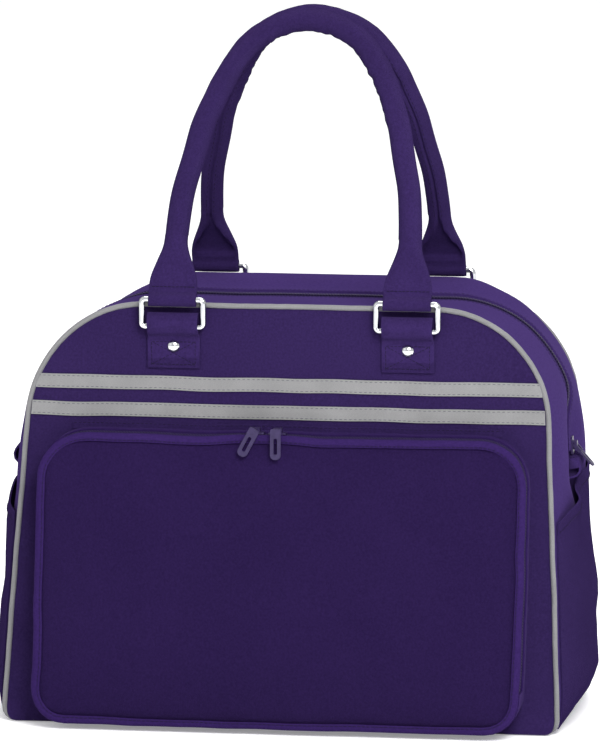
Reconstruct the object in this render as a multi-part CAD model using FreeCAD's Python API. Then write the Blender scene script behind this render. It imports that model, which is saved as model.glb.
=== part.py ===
"""Retro bowling bag: an arched fabric holdall with a zipped front pocket and two rolled handles.

Millimetres, +Z up, +X to the wearer's right of the front, front face towards -Y.
The origin lies on the floor under the middle of the base.
"""
import FreeCAD, Part
import math
import os

Vector = FreeCAD.Vector
X_AXIS = Vector(1, 0, 0)
Y_AXIS = Vector(0, 1, 0)

# ---- Overall size of the bag -------------------------------------------------------------
BASE_WIDTH = 426.0            # over the piping, at the floor
TOP_WIDTH = 388.0             # where the two leaning side edges would meet the top edge
BODY_HEIGHT = 322.0           # floor to the top of the piping
BODY_DEPTH = 190.0            # between the outer faces of the front and back panels
TOP_CORNER_RADIUS = 90.0
BASE_CORNER_RADIUS = 20.0

# ---- Cloth, piping and clearances --------------------------------------------------------
CLOTH = 2.4                   # foam-backed panel cloth
THIN_CLOTH = 1.2              # tapes, bindings and stripes
PIPING_RADIUS = 2.4
SEAM_GAP = 0.2                # between two sewn pieces that are separate solids
RUNNING_GAP = 0.4             # round a ring, slider or pull that moves

# ---- Mouth -------------------------------------------------------------------------------
FOLD_DROP = 90.0              # top edge down to the line where the mouth halves bend outwards
ZIP_TAPE_WIDTH = 15.0         # one side, from the cloth to the teeth
ZIP_TOOTH_WIDTH = 2.6         # one row
ZIP_TOOTH_HEIGHT = 2.2
ZIP_TAIL_LENGTH = 34.0        # closed zip below the fold line on each side

# ---- Stripes across the front ------------------------------------------------------------
STRIPE_WIDTH = 10.5
UPPER_STRIPE_DROP = 56.0      # top edge of the bag down to the top edge of the stripe
LOWER_STRIPE_DROP = 76.5

# ---- Front pocket ------------------------------------------------------------------------
POCKET_WIDTH = 368.0
POCKET_BELOW_FOLD = 6.5
POCKET_ABOVE_PIPING = 0.6
POCKET_DEPTH = 25.0           # at its top edge
POCKET_LEAN = 2.5             # degrees: its face leans out towards the base
POCKET_TOP_RADIUS = 36.0
POCKET_BASE_RADIUS = 25.0
BINDING_WIDTH = 6.0
POCKET_TAPE_WIDTH = 4.5
POCKET_TEETH_WIDTH = 4.0
POCKET_ZIP_LOW_END = 34.0     # height of the pocket zip's two ends
FACING_HEIGHT = 5.0

# ---- Rings, tabs and rivets --------------------------------------------------------------
RING_WIDTH = 51.0
RING_HEIGHT = 25.0
RING_WIRE_RADIUS = 2.3
RING_CORNER_RADIUS = 5.0
RING_BAR_DROP = 17.8          # top edge of the bag down to the ring's lower bar
HANDLE_SPACING = 177.0        # middle of one ring to middle of the other
TAB_SIDE_GAP = 0.9            # between a tab and the ring's side bar
TAB_PATCH_LENGTH = 25.0
TAB_LOOP_TOP = 11.3           # lower bar up to the top of the folded loop
TAB_LOOP_DROP = 7.2           # lower bar down to the top of the patch
TAB_LOOP_PADDING = 2.8        # cloth round the ring's lower bar
EYE_TO_PIPING = 0.66          # between the handle's fold and the piping behind it
TAB_CLOTH = 3.0
RIVET_HEAD_RADIUS = 4.5
RIVET_HEAD_HEIGHT = 2.2
RIVET_SHANK_RADIUS = 1.6
RIVET_BELOW_PATCH_TOP = 8.0

# ---- Handles -----------------------------------------------------------------------------
HANDLE_RISE = 221.0           # ring's upper bar to the tube's centre line at the top
HANDLE_RADIUS = 8.75
HANDLE_CORE_RADIUS = 6.2
HANDLE_LEG_LEAN = 12.0        # degrees, in the handle's own plane
HANDLE_TOP_SHIFT = 6.0        # the arch lolls this far to the right
HANDLE_TOP_RADIUS = 70.0
HANDLE_KNEE_RADIUS = 250.0
HANDLE_TILT = 23.0            # degrees towards the middle of the bag
FLAP_SIDE_GAP = 2.4           # between a handle's fold and the ring's side bar
FLAP_CLOTH = 2.6
FLAP_STRAIGHT = 12.0
FLAP_TAPER_TOP = 46.0

# ---- Sliders and pulls -------------------------------------------------------------------
SLIDER_LENGTH = 13.0
SLIDER_WIDTH = 9.0
SLIDER_PLATE = 1.4
SLIDER_BRIDGE = 3.2
SLIDER_MEETING_X = -15.6      # where the two pocket sliders meet
SLIDER_SPLIT = 3.5            # left between them
PIN_GAP = 0.1                 # round a pull's pin in its slider
PULL_WIDTH = 8.0
PULL_LENGTH = 21.0
PULL_THICKNESS = 1.5
PULL_PIN_RADIUS = 1.1
LEFT_PULL_SWING = 28.0        # degrees from hanging straight down

# ---- Sides and base ----------------------------------------------------------------------
LOOP_TAB_WIDTH = 22.0
LOOP_TAB_HEIGHT = 15.0
LOOP_TAB_REACH = 10.5
LOOP_TAB_CLOTH = 1.6
LOOP_TAB_CORNER = 0.3         # corner radius as a share of the loop's height
SIDE_POCKET_DEPTH = 168.0     # front to back
SIDE_POCKET_BELOW_TAB = 0.8   # loop tab down to the highest point of the pocket's mouth
SIDE_POCKET_MOUTH_DROP = 24.0 # back end of the mouth down to its front end
SIDE_POCKET_STANDOFF = 7.0
SIDE_POCKET_BASE = 24.0
BASE_BOARD_THICKNESS = 3.0
BASE_BOARD_MARGIN = 6.0

# ---- Sizes that follow from the ones above -----------------------------------------------
PANEL_Y = BODY_DEPTH / 2
FOLD_Z = BODY_HEIGHT - FOLD_DROP
PIPING_Y = PANEL_Y
GUSSET_FRONT_Y = PIPING_Y - PIPING_RADIUS - SEAM_GAP
PANEL_INSET = 2 * PIPING_RADIUS + SEAM_GAP
GUSSET_INSET = PIPING_RADIUS / 2
FOLD_Y = PIPING_Y + PIPING_RADIUS + 0.1
RING_BAR_Z = BODY_HEIGHT - RING_BAR_DROP
RING_BAR_SPAN = RING_HEIGHT - 2 * RING_WIRE_RADIUS
HANDLE_BAR_Z = RING_BAR_Z + RING_BAR_SPAN
HANDLE_EYE_RADIUS = RING_WIRE_RADIUS + RUNNING_GAP + FLAP_CLOTH
BAR_OVER_PIPING = HANDLE_BAR_Z - BODY_HEIGHT + PIPING_RADIUS
BAR_TO_PIPING = HANDLE_EYE_RADIUS + EYE_TO_PIPING + PIPING_RADIUS
RING_Y = PIPING_Y + math.sqrt(BAR_TO_PIPING ** 2 - BAR_OVER_PIPING ** 2)
RING_CLEAR_WIDTH = RING_WIDTH - 4 * RING_WIRE_RADIUS
TAB_WIDTH = RING_CLEAR_WIDTH - 2 * TAB_SIDE_GAP
FLAP_WIDTH = RING_CLEAR_WIDTH - 2 * FLAP_SIDE_GAP
TAB_LOOP_DEPTH = 2 * (RING_WIRE_RADIUS + RUNNING_GAP + TAB_LOOP_PADDING)
POCKET_TOP_Z = FOLD_Z - POCKET_BELOW_FOLD
POCKET_BASE_Z = 2 * PIPING_RADIUS + POCKET_ABOVE_PIPING
POCKET_FACE_Y = PANEL_Y + POCKET_DEPTH
PULL_PLANE_Y = POCKET_FACE_Y + THIN_CLOTH + RUNNING_GAP + PULL_THICKNESS / 2
TEETH_FRONT = POCKET_FACE_Y - BINDING_WIDTH / 2 - POCKET_TAPE_WIDTH
TEETH_BACK = TEETH_FRONT - POCKET_TEETH_WIDTH
GUSSET_EDGE = TEETH_BACK - POCKET_TAPE_WIDTH

PARTS = {}


# ---- Outlines ----------------------------------------------------------------------------

def upright(y):
    """Placing function for outlines drawn in the upright plane at depth y."""
    return lambda a, b: Vector(a, y, b)


def sideways(x):
    """Placing function for outlines drawn in the plane facing the side, at x."""
    return lambda a, b: Vector(x, a, b)


def flat(z):
    """Placing function for outlines drawn in the level plane at height z."""
    return lambda a, b: Vector(a, b, z)


def inset_corners(corners, inset):
    """Corners of the same convex outline with every side moved inwards; they run anticlockwise."""
    moved = []
    count = len(corners)
    for i in range(count):
        before = corners[i - 1]
        here = corners[i]
        after = corners[(i + 1) % count]
        normals = []
        for start, end in ((before, here), (here, after)):
            length = math.hypot(end[0] - start[0], end[1] - start[1])
            normals.append((-(end[1] - start[1]) / length, (end[0] - start[0]) / length))
        (ax, ay), (bx, by) = normals
        share = inset / (1 + ax * bx + ay * by)
        moved.append((here[0] + share * (ax + bx), here[1] + share * (ay + by)))
    return moved


def rounded_wire(corners, radii, place, closed=True):
    """Wire of straight runs through the corners, each corner rounded by a tangent arc."""
    count = len(corners)
    edges = []
    entry = None
    first = None
    for i in range(count):
        here = corners[i]
        if not closed and i in (0, count - 1):
            end_point = place(*here)
            if i == 0:
                entry = end_point
            else:
                edges.append(Part.LineSegment(entry, end_point).toShape())
            continue
        before = corners[i - 1]
        after = corners[(i + 1) % count]
        back = (before[0] - here[0], before[1] - here[1])
        ahead = (after[0] - here[0], after[1] - here[1])
        back_length = math.hypot(*back)
        ahead_length = math.hypot(*ahead)
        back = (back[0] / back_length, back[1] / back_length)
        ahead = (ahead[0] / ahead_length, ahead[1] / ahead_length)
        half = math.acos(back[0] * ahead[0] + back[1] * ahead[1]) / 2
        run = radii[i] / math.tan(half)
        inward = (back[0] + ahead[0], back[1] + ahead[1])
        inward_length = math.hypot(*inward)
        reach = (radii[i] / math.sin(half) - radii[i]) / inward_length
        start = place(here[0] + back[0] * run, here[1] + back[1] * run)
        middle = place(here[0] + inward[0] * reach, here[1] + inward[1] * reach)
        end = place(here[0] + ahead[0] * run, here[1] + ahead[1] * run)
        if entry is not None:
            edges.append(Part.LineSegment(entry, start).toShape())
        else:
            first = start
        edges.append(Part.Arc(start, middle, end).toShape())
        entry = end
    if closed:
        edges.append(Part.LineSegment(entry, first).toShape())
    return Part.Wire(edges)


def bag_wire(inset, y):
    """Outline of the bag seen from the front, moved inwards, at depth y."""
    base = BASE_WIDTH / 2
    top = TOP_WIDTH / 2
    corners = [(-base, 0), (base, 0), (top, BODY_HEIGHT), (-top, BODY_HEIGHT)]
    radii = [BASE_CORNER_RADIUS, BASE_CORNER_RADIUS, TOP_CORNER_RADIUS, TOP_CORNER_RADIUS]
    radii = [radius - inset for radius in radii]
    return rounded_wire(inset_corners(corners, inset), radii, upright(y))


def pocket_wire(inset, y):
    """Outline of the front pocket, moved inwards, at depth y."""
    half = POCKET_WIDTH / 2
    low = POCKET_BASE_Z
    corners = [(-half, low), (half, low), (half, POCKET_TOP_Z), (-half, POCKET_TOP_Z)]
    radii = [POCKET_BASE_RADIUS, POCKET_BASE_RADIUS, POCKET_TOP_RADIUS, POCKET_TOP_RADIUS]
    radii = [radius - inset for radius in radii]
    return rounded_wire(inset_corners(corners, inset), radii, upright(y))


# ---- Solids ------------------------------------------------------------------------------

def box(x0, x1, y0, y1, z0, z1):
    """Box between two corners."""
    return Part.makeBox(x1 - x0, y1 - y0, z1 - z0, Vector(x0, y0, z0))


def plate(wire, direction):
    """Flat plate filling a closed wire, thickened along the direction vector."""
    return Part.Face(wire).extrude(direction)


def band(wire_at, outer_inset, inner_inset, y0, y1):
    """Strip that runs round an outline on edge, from depth y0 to y1."""
    along = Vector(0, y1 - y0, 0)
    outer = plate(wire_at(outer_inset, y0), along)
    inner = plate(wire_at(inner_inset, y0), along)
    return outer.cut(inner)


def tube_along(wire, radius):
    """Round tube whose centre line is the wire."""
    edge = wire.Edges[0]
    start = edge.valueAt(edge.FirstParameter)
    tangent = edge.tangentAt(edge.FirstParameter)
    section = Part.Wire(Part.makeCircle(radius, start, tangent))
    return wire.makePipeShell([section], True, True)


def below(shape, z):
    """The part of a shape lower than z."""
    bounds = shape.BoundBox
    return shape.common(box(bounds.XMin - 1, bounds.XMax + 1, bounds.YMin - 1, bounds.YMax + 1,
                            bounds.ZMin - 1, z))


def above(shape, z):
    """The part of a shape higher than z."""
    bounds = shape.BoundBox
    return shape.common(box(bounds.XMin - 1, bounds.XMax + 1, bounds.YMin - 1, bounds.YMax + 1,
                            z, bounds.ZMax + 1))


def to_back(shape):
    """The same piece mirrored from the front of the bag to the back."""
    return shape.mirror(Vector(0, 0, 0), Y_AXIS)


def lean_pocket(shape):
    """Lean a piece of the pocket out about the pocket's top front edge."""
    leaned = shape.copy()
    leaned.rotate(Vector(0, -POCKET_FACE_Y, POCKET_TOP_Z), X_AXIS, -POCKET_LEAN)
    return leaned


def keep(name, shape):
    """Store a finished piece under its node name."""
    PARTS[name] = shape.removeSplitter()


# ---- Body panels, piping and base --------------------------------------------------------

def side_surface(z):
    """Half width of the bag's side wall, outer face, at height z."""
    lean = (BASE_WIDTH - TOP_WIDTH) / 2 / BODY_HEIGHT
    return BASE_WIDTH / 2 - lean * z - GUSSET_INSET


def side_lean():
    """Angle in degrees by which the side walls lean in towards the top."""
    return math.degrees(math.atan((BASE_WIDTH - TOP_WIDTH) / 2 / BODY_HEIGHT))


def on_right_side(shape, z):
    """Put a piece drawn round the origin, outwards along +X, on the right side wall."""
    placed = shape.copy()
    placed.rotate(Vector(0, 0, 0), Y_AXIS, -side_lean())
    placed.translate(Vector(side_surface(z), 0, z))
    return placed


def to_left(shape):
    """The same piece mirrored from the right side to the left."""
    return shape.mirror(Vector(0, 0, 0), X_AXIS)


def make_panels():
    """Front and back panels, each in a fixed lower part and an upper part of the mouth."""
    panel = plate(bag_wire(PANEL_INSET, -PANEL_Y), Vector(0, CLOTH, 0))
    for x in (-HANDLE_SPACING / 2, HANDLE_SPACING / 2):
        start = Vector(x, -PANEL_Y - 1, rivet_height())
        panel = panel.cut(Part.makeCylinder(RIVET_SHANK_RADIUS + SEAM_GAP / 2, CLOTH + 2, start, Y_AXIS))
    keep("front_panel_lower", below(panel, FOLD_Z - SEAM_GAP))
    keep("front_panel_upper", above(panel, FOLD_Z))
    keep("back_panel_lower", below(to_back(panel), FOLD_Z - SEAM_GAP))
    keep("back_panel_upper", above(to_back(panel), FOLD_Z))


def make_piping():
    """Corded piping in the seam round the front and back panels."""
    piping = tube_along(bag_wire(PIPING_RADIUS, -PIPING_Y), PIPING_RADIUS)
    keep("front_piping_lower", below(piping, FOLD_Z - SEAM_GAP))
    keep("front_piping_upper", above(piping, FOLD_Z))
    keep("back_piping_lower", below(to_back(piping), FOLD_Z - SEAM_GAP))
    keep("back_piping_upper", above(to_back(piping), FOLD_Z))


def make_gusset():
    """Base, side walls and the two halves of the top band, with the main zip between them."""
    reach = BASE_WIDTH
    base_seam = BASE_CORNER_RADIUS + CLOTH
    zip_half = ZIP_TOOTH_WIDTH + ZIP_TAPE_WIDTH + SEAM_GAP / 2
    wall = band(bag_wire, GUSSET_INSET, GUSSET_INSET + CLOTH, -GUSSET_FRONT_Y, GUSSET_FRONT_Y)

    flat_half = BASE_WIDTH / 2 - BASE_CORNER_RADIUS
    sole = box(-flat_half, flat_half, -GUSSET_FRONT_Y, GUSSET_FRONT_Y, 0, GUSSET_INSET + CLOTH)
    keep("base_panel", below(wall, base_seam).fuse(sole))

    sides = above(below(wall, FOLD_Z - SEAM_GAP), base_seam + SEAM_GAP)
    tail_low = FOLD_Z - ZIP_TAIL_LENGTH
    sides = sides.cut(box(-reach, reach, -zip_half - SEAM_GAP, zip_half + SEAM_GAP,
                          tail_low, FOLD_Z))
    keep("side_panel_right", sides.common(box(0, reach, -BODY_DEPTH, BODY_DEPTH, 0, BODY_HEIGHT)))
    keep("side_panel_left", sides.common(box(-reach, 0, -BODY_DEPTH, BODY_DEPTH, 0, BODY_HEIGHT)))

    upper = above(wall, FOLD_Z)
    front_band = upper.common(box(-reach, reach, -BODY_DEPTH, -zip_half - SEAM_GAP, 0, BODY_HEIGHT))
    keep("top_band_front", front_band)
    keep("top_band_back", to_back(front_band))

    tape = band(bag_wire, GUSSET_INSET, GUSSET_INSET + THIN_CLOTH, -zip_half, -ZIP_TOOTH_WIDTH)
    teeth = band(bag_wire, GUSSET_INSET + THIN_CLOTH / 2 - ZIP_TOOTH_HEIGHT / 2,
                 GUSSET_INSET + THIN_CLOTH / 2 + ZIP_TOOTH_HEIGHT / 2,
                 -ZIP_TOOTH_WIDTH, -SEAM_GAP / 2)
    keep("main_zip_tape_front", above(tape, FOLD_Z))
    keep("main_zip_tape_back", above(to_back(tape), FOLD_Z))
    keep("main_zip_teeth_front", above(teeth, FOLD_Z))
    keep("main_zip_teeth_back", above(to_back(teeth), FOLD_Z))

    closed_teeth = band(bag_wire, GUSSET_INSET + THIN_CLOTH / 2 - ZIP_TOOTH_HEIGHT / 2,
                        GUSSET_INSET + THIN_CLOTH / 2 + ZIP_TOOTH_HEIGHT / 2,
                        -ZIP_TOOTH_WIDTH, ZIP_TOOTH_WIDTH)
    tail = tape.fuse([to_back(tape), closed_teeth])
    tail = above(below(tail, FOLD_Z - SEAM_GAP), tail_low + SEAM_GAP)
    keep("main_zip_tail_right", tail.common(box(0, reach, -BODY_DEPTH, BODY_DEPTH, 0, BODY_HEIGHT)))
    keep("main_zip_tail_left", tail.common(box(-reach, 0, -BODY_DEPTH, BODY_DEPTH, 0, BODY_HEIGHT)))


def make_base_board():
    """Stiff board that lies loose on the inside of the base."""
    half_x = BASE_WIDTH / 2 - BASE_CORNER_RADIUS - BASE_BOARD_MARGIN
    half_y = PANEL_Y - CLOTH - BASE_BOARD_MARGIN
    low = GUSSET_INSET + CLOTH
    keep("base_board", box(-half_x, half_x, -half_y, half_y, low, low + BASE_BOARD_THICKNESS))


def make_stripes():
    """Two tapes stitched across the upper front panel."""
    tape = plate(bag_wire(PANEL_INSET, -PANEL_Y - THIN_CLOTH), Vector(0, THIN_CLOTH, 0))
    for name, drop in (("stripe_upper", UPPER_STRIPE_DROP), ("stripe_lower", LOWER_STRIPE_DROP)):
        top = BODY_HEIGHT - drop
        keep(name, below(above(tape, top - STRIPE_WIDTH), top))


# ---- Front pocket ------------------------------------------------------------------------

def make_pocket():
    """Zipped front pocket: facing, gusset, zip and bound front panel."""
    half_width = POCKET_WIDTH / 2
    straight = half_width - POCKET_TOP_RADIUS
    keep("pocket_zip_facing", box(-straight, straight, -PANEL_Y - THIN_CLOTH, -PANEL_Y,
                                  POCKET_TOP_Z, POCKET_TOP_Z + FACING_HEIGHT))

    deep = POCKET_FACE_Y + POCKET_WIDTH / 4
    gusset = band(pocket_wire, 0, CLOTH, -deep, -PANEL_Y)
    high = BODY_HEIGHT
    past_face = box(-half_width - 1, half_width + 1, -2 * deep, -POCKET_FACE_Y + BINDING_WIDTH / 2,
                    -high, 2 * high)
    past_zip = box(-half_width - 1, half_width + 1, -2 * deep, -GUSSET_EDGE,
                   POCKET_ZIP_LOW_END - SEAM_GAP, 2 * high)
    gusset = gusset.cut(lean_pocket(past_face)).cut(lean_pocket(past_zip))
    keep("pocket_gusset", gusset)

    strips = (
        ("pocket_zip_tape_outer", 0, THIN_CLOTH, GUSSET_EDGE, TEETH_BACK),
        ("pocket_zip_teeth", -(ZIP_TOOTH_HEIGHT - THIN_CLOTH) / 2,
         (ZIP_TOOTH_HEIGHT + THIN_CLOTH) / 2, TEETH_BACK, TEETH_FRONT),
        ("pocket_zip_tape_inner", 0, THIN_CLOTH, TEETH_FRONT, POCKET_FACE_Y - BINDING_WIDTH / 2),
    )
    for name, outer, inner, back, front in strips:
        strip = band(pocket_wire, outer, inner, -front, -back)
        keep(name, lean_pocket(above(strip, POCKET_ZIP_LOW_END)))

    binding_inset = BINDING_WIDTH - THIN_CLOTH
    binding = band(pocket_wire, -THIN_CLOTH / 2, binding_inset,
                   -POCKET_FACE_Y - THIN_CLOTH, -POCKET_FACE_Y + BINDING_WIDTH / 2)
    keep("pocket_binding", lean_pocket(binding))
    face = plate(pocket_wire(binding_inset + SEAM_GAP, -POCKET_FACE_Y), Vector(0, CLOTH, 0))
    keep("pocket_panel", lean_pocket(face))


def slider_body(length, width):
    """Zip slider lying level round the origin, travel along X, pull side up, bridge across."""
    lift = RUNNING_GAP
    top = box(-length / 2, length / 2, -width / 2, width / 2, lift, lift + SLIDER_PLATE)
    crown = lift + SLIDER_PLATE
    bridge = box(-length / 4, length / 4, -width / 3, width / 3, crown, crown + SLIDER_BRIDGE)
    return top.fuse(bridge)


def pin_height():
    """Height of the pull's pin above the teeth under the slider."""
    return RUNNING_GAP + SLIDER_PLATE + SLIDER_BRIDGE / 2


def make_pocket_sliders():
    """Two sliders that meet near the middle of the pocket's top edge, each with its pull."""
    tooth_top = POCKET_TOP_Z + (ZIP_TOOTH_HEIGHT - THIN_CLOTH) / 2
    middle_y = -(TEETH_FRONT + TEETH_BACK) / 2
    pin_z = tooth_top + pin_height()
    bridge_back = middle_y + SLIDER_WIDTH / 3
    swings = {"left": LEFT_PULL_SWING, "right": 0.0}
    for side, direction in (("left", -1), ("right", 1)):
        x = SLIDER_MEETING_X + direction * (SLIDER_LENGTH + SLIDER_SPLIT) / 2
        body = slider_body(SLIDER_LENGTH, SLIDER_WIDTH)
        body.translate(Vector(x, middle_y, tooth_top))
        bore_start = Vector(x, bridge_back + 1, pin_z)
        bore = Part.makeCylinder(PULL_PIN_RADIUS + PIN_GAP, SLIDER_WIDTH, bore_start, -Y_AXIS)
        keep("pocket_slider_" + side, lean_pocket(body.cut(bore)))

        plate_front = -PULL_PLANE_Y - PULL_THICKNESS / 2
        head_y = bridge_back + PIN_GAP
        head = Part.makeCylinder(1.35 * PULL_PIN_RADIUS, PULL_PIN_RADIUS,
                                 Vector(x, head_y, pin_z), Y_AXIS)
        pin = Part.makeCylinder(PULL_PIN_RADIUS, head_y - plate_front,
                                Vector(x, head_y, pin_z), -Y_AXIS)
        leaf = pull_leaf(PULL_WIDTH, PULL_LENGTH, plate_front)
        leaf.translate(Vector(x, 0, pin_z))
        pull = pin.fuse([head, leaf])
        pull.rotate(Vector(x, 0, pin_z), Y_AXIS, swings[side])
        keep("pocket_pull_" + side, lean_pocket(pull))


def pull_leaf(width, length, y):
    """Flat pull hanging below the origin, with a slot near its rounded tip."""
    half = width / 2
    corners = [(-half, -length), (half, -length), (half, half / 2), (-half, half / 2)]
    radii = [0.9 * half, 0.9 * half, half / 3, half / 3]
    leaf = plate(rounded_wire(corners, radii, upright(y)), Vector(0, PULL_THICKNESS, 0))
    slot_half = width / 6
    slot = [(-slot_half, half - length), (slot_half, half - length),
            (slot_half, 2 * width - length), (-slot_half, 2 * width - length)]
    hole = rounded_wire(slot, [0.8 * slot_half] * 4, upright(y))
    return leaf.cut(plate(hole, Vector(0, PULL_THICKNESS, 0)))


# ---- Main slider, loop tabs and side pockets ---------------------------------------------

def main_slider_height():
    """Rest height of the main slider, at the closed end of the main zip on the right."""
    return FOLD_Z - ZIP_TAIL_LENGTH + SLIDER_LENGTH / 2 + 1.5


def main_pull_lift(pin_x):
    """Angle in degrees between the wall and the main pull, which lies on the loop tab below it."""
    corner = LOOP_TAB_CORNER * LOOP_TAB_HEIGHT
    out = LOOP_TAB_REACH - corner - pin_x
    down = main_slider_height() - loop_tab_height() - LOOP_TAB_HEIGHT / 2 + corner
    clear = corner + PULL_PIN_RADIUS * 1.25 + RUNNING_GAP
    return math.degrees(math.atan2(out, down) + math.asin(clear / math.hypot(out, down)))


def loop_tab_height():
    """Height of the middle of the loop tabs, just under the ends of the main zip."""
    return FOLD_Z - ZIP_TAIL_LENGTH - LOOP_TAB_HEIGHT / 2 - SEAM_GAP


def make_main_slider():
    """Slider and pull of the main zip; the pull hangs over the loop tab below it."""
    tooth_face = (ZIP_TOOTH_HEIGHT - THIN_CLOTH) / 2
    pin_x = tooth_face + pin_height()
    body = slider_body(SLIDER_LENGTH, SLIDER_WIDTH)
    body.rotate(Vector(0, 0, 0), Y_AXIS, 90)
    body.translate(Vector(tooth_face, 0, 0))
    body_half = SLIDER_WIDTH / 3
    bore = Part.makeCylinder(PULL_PIN_RADIUS + PIN_GAP, SLIDER_WIDTH,
                             Vector(pin_x, -SLIDER_WIDTH / 2, 0), Y_AXIS)
    keep("main_slider", on_right_side(body.cut(bore), main_slider_height()))

    ear = PULL_THICKNESS
    outer = body_half + PIN_GAP + ear
    pin = Part.makeCylinder(PULL_PIN_RADIUS, 2 * outer, Vector(pin_x, -outer, 0), Y_AXIS)
    pieces = []
    ear_half = 1.25 * PULL_PIN_RADIUS
    ear_foot = SLIDER_LENGTH / 2
    for y in (-outer, outer - ear):
        pieces.append(Part.makeCylinder(ear_half, ear, Vector(pin_x, y, 0), Y_AXIS))
        pieces.append(box(pin_x - ear_half, pin_x + ear_half, y, y + ear, -ear_foot, 0))
    leaf = pull_leaf(2 * outer, PULL_LENGTH, -PULL_THICKNESS / 2)
    leaf.rotate(Vector(0, 0, 0), Vector(0, 0, 1), 90)
    leaf = leaf.common(box(-outer, outer, -outer, outer, -PULL_LENGTH, -0.75 * ear_foot))
    leaf.translate(Vector(pin_x, 0, 0))
    pull = pin.fuse(pieces + [leaf])
    pull.rotate(Vector(pin_x, 0, 0), Y_AXIS, -main_pull_lift(pin_x))
    keep("main_pull", on_right_side(pull, main_slider_height()))


def make_loop_tabs():
    """Folded cloth loop sewn at each end of the main zip."""
    half = LOOP_TAB_HEIGHT / 2
    width = LOOP_TAB_WIDTH
    outline = [(0, -half), (LOOP_TAB_REACH, -half), (LOOP_TAB_REACH, half), (0, half)]
    corner = LOOP_TAB_CORNER * LOOP_TAB_HEIGHT
    outer_radii = [1.0, corner, corner, 1.0]
    place = upright(-width / 2)
    inner_radii = [0.5, corner - LOOP_TAB_CLOTH, corner - LOOP_TAB_CLOTH, 0.5]
    loop = plate(rounded_wire(outline, outer_radii, place), Vector(0, width, 0))
    hollow = rounded_wire(inset_corners(outline, LOOP_TAB_CLOTH), inner_radii, place)
    loop = loop.cut(plate(hollow, Vector(0, width, 0)))
    loop = on_right_side(loop, loop_tab_height())
    keep("loop_tab_right", loop)
    keep("loop_tab_left", to_left(loop))


def make_side_pockets():
    """Slip pocket on each side, standing off the wall at its slanting mouth."""
    half = SIDE_POCKET_DEPTH / 2
    top = loop_tab_height() - LOOP_TAB_HEIGHT / 2 - SIDE_POCKET_BELOW_TAB
    height = top - SIDE_POCKET_BASE
    sheet = [(0, 0), (THIN_CLOTH, 0), (SIDE_POCKET_STANDOFF + THIN_CLOTH, height),
             (SIDE_POCKET_STANDOFF, height)]
    cheek = [(0, 0), (THIN_CLOTH, 0), (SIDE_POCKET_STANDOFF + THIN_CLOTH, height), (0, height)]

    def prism(points, y, depth):
        corners = [Vector(a, y, b) for a, b in points]
        return plate(Part.makePolygon(corners + corners[:1]), Vector(0, depth, 0))

    pocket = prism(sheet, -half, 2 * half)
    pocket = pocket.fuse([prism(cheek, -half, THIN_CLOTH), prism(cheek, half - THIN_CLOTH, THIN_CLOTH)])
    low = height - SIDE_POCKET_MOUTH_DROP
    sweep_middle = (low + height) / 2 - 0.06 * SIDE_POCKET_DEPTH
    mouth = Part.Arc(Vector(-1, -half - 1, low), Vector(-1, 0, sweep_middle),
                     Vector(-1, half + 1, height)).toShape()
    rim = Part.makePolygon([Vector(-1, half + 1, height), Vector(-1, half + 1, 2 * height),
                            Vector(-1, -half - 1, 2 * height), Vector(-1, -half - 1, low)])
    cutter = plate(Part.Wire([mouth] + rim.Edges), Vector(4 * SIDE_POCKET_STANDOFF, 0, 0))
    pocket = pocket.cut(cutter)
    pocket.translate(Vector(SEAM_GAP / 2, 0, 0))
    pocket = on_right_side(pocket, SIDE_POCKET_BASE)
    keep("side_pocket_right", pocket)
    keep("side_pocket_left", to_left(pocket))


# ---- Rings, tabs, rivets and handles -----------------------------------------------------

def rivet_height():
    """Height of the rivets through the tabs."""
    return RING_BAR_Z - TAB_LOOP_DROP - RIVET_BELOW_PATCH_TOP


def ring_at(x):
    """Rectangular wire ring in front of the panel, its lower bar in the tab's loop."""
    half = RING_WIDTH / 2 - RING_WIRE_RADIUS
    low = RING_BAR_Z
    high = HANDLE_BAR_Z
    corners = [(x - half, low), (x + half, low), (x + half, high), (x - half, high)]
    wire = rounded_wire(corners, [RING_CORNER_RADIUS - RING_WIRE_RADIUS] * 4, upright(-RING_Y))
    return tube_along(wire, RING_WIRE_RADIUS)


def tab_at(x):
    """Cloth tab: a patch sewn flat to the panel and a padded loop round the ring's lower bar."""
    half = TAB_WIDTH / 2
    low = RING_BAR_Z - TAB_LOOP_DROP
    patch = box(x - half, x + half, -PANEL_Y - TAB_CLOTH, -PANEL_Y, low - TAB_PATCH_LENGTH, low)
    front = -RING_Y - TAB_LOOP_DEPTH / 2
    back = -RING_Y + TAB_LOOP_DEPTH / 2
    top = RING_BAR_Z + TAB_LOOP_TOP
    outline = [(front, low), (back, low), (back, top), (front, top)]
    soft = 0.45 * TAB_LOOP_DEPTH
    loop = plate(rounded_wire(outline, [soft, soft / 4, soft, soft], sideways(x - half)),
                 Vector(TAB_WIDTH, 0, 0))
    neck = box(x - half, x + half, -PANEL_Y - TAB_CLOTH, -PANEL_Y, low, low + TAB_CLOTH)
    bore = Part.makeCylinder(RING_WIRE_RADIUS + RUNNING_GAP, TAB_WIDTH,
                             Vector(x - half, -RING_Y, RING_BAR_Z), X_AXIS)
    hole = Part.makeCylinder(RIVET_SHANK_RADIUS + SEAM_GAP / 2, 2 * TAB_CLOTH,
                             Vector(x, -PANEL_Y + TAB_CLOTH / 2, rivet_height()), -Y_AXIS)
    return patch.fuse([neck, loop]).cut(bore).cut(hole)


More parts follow.
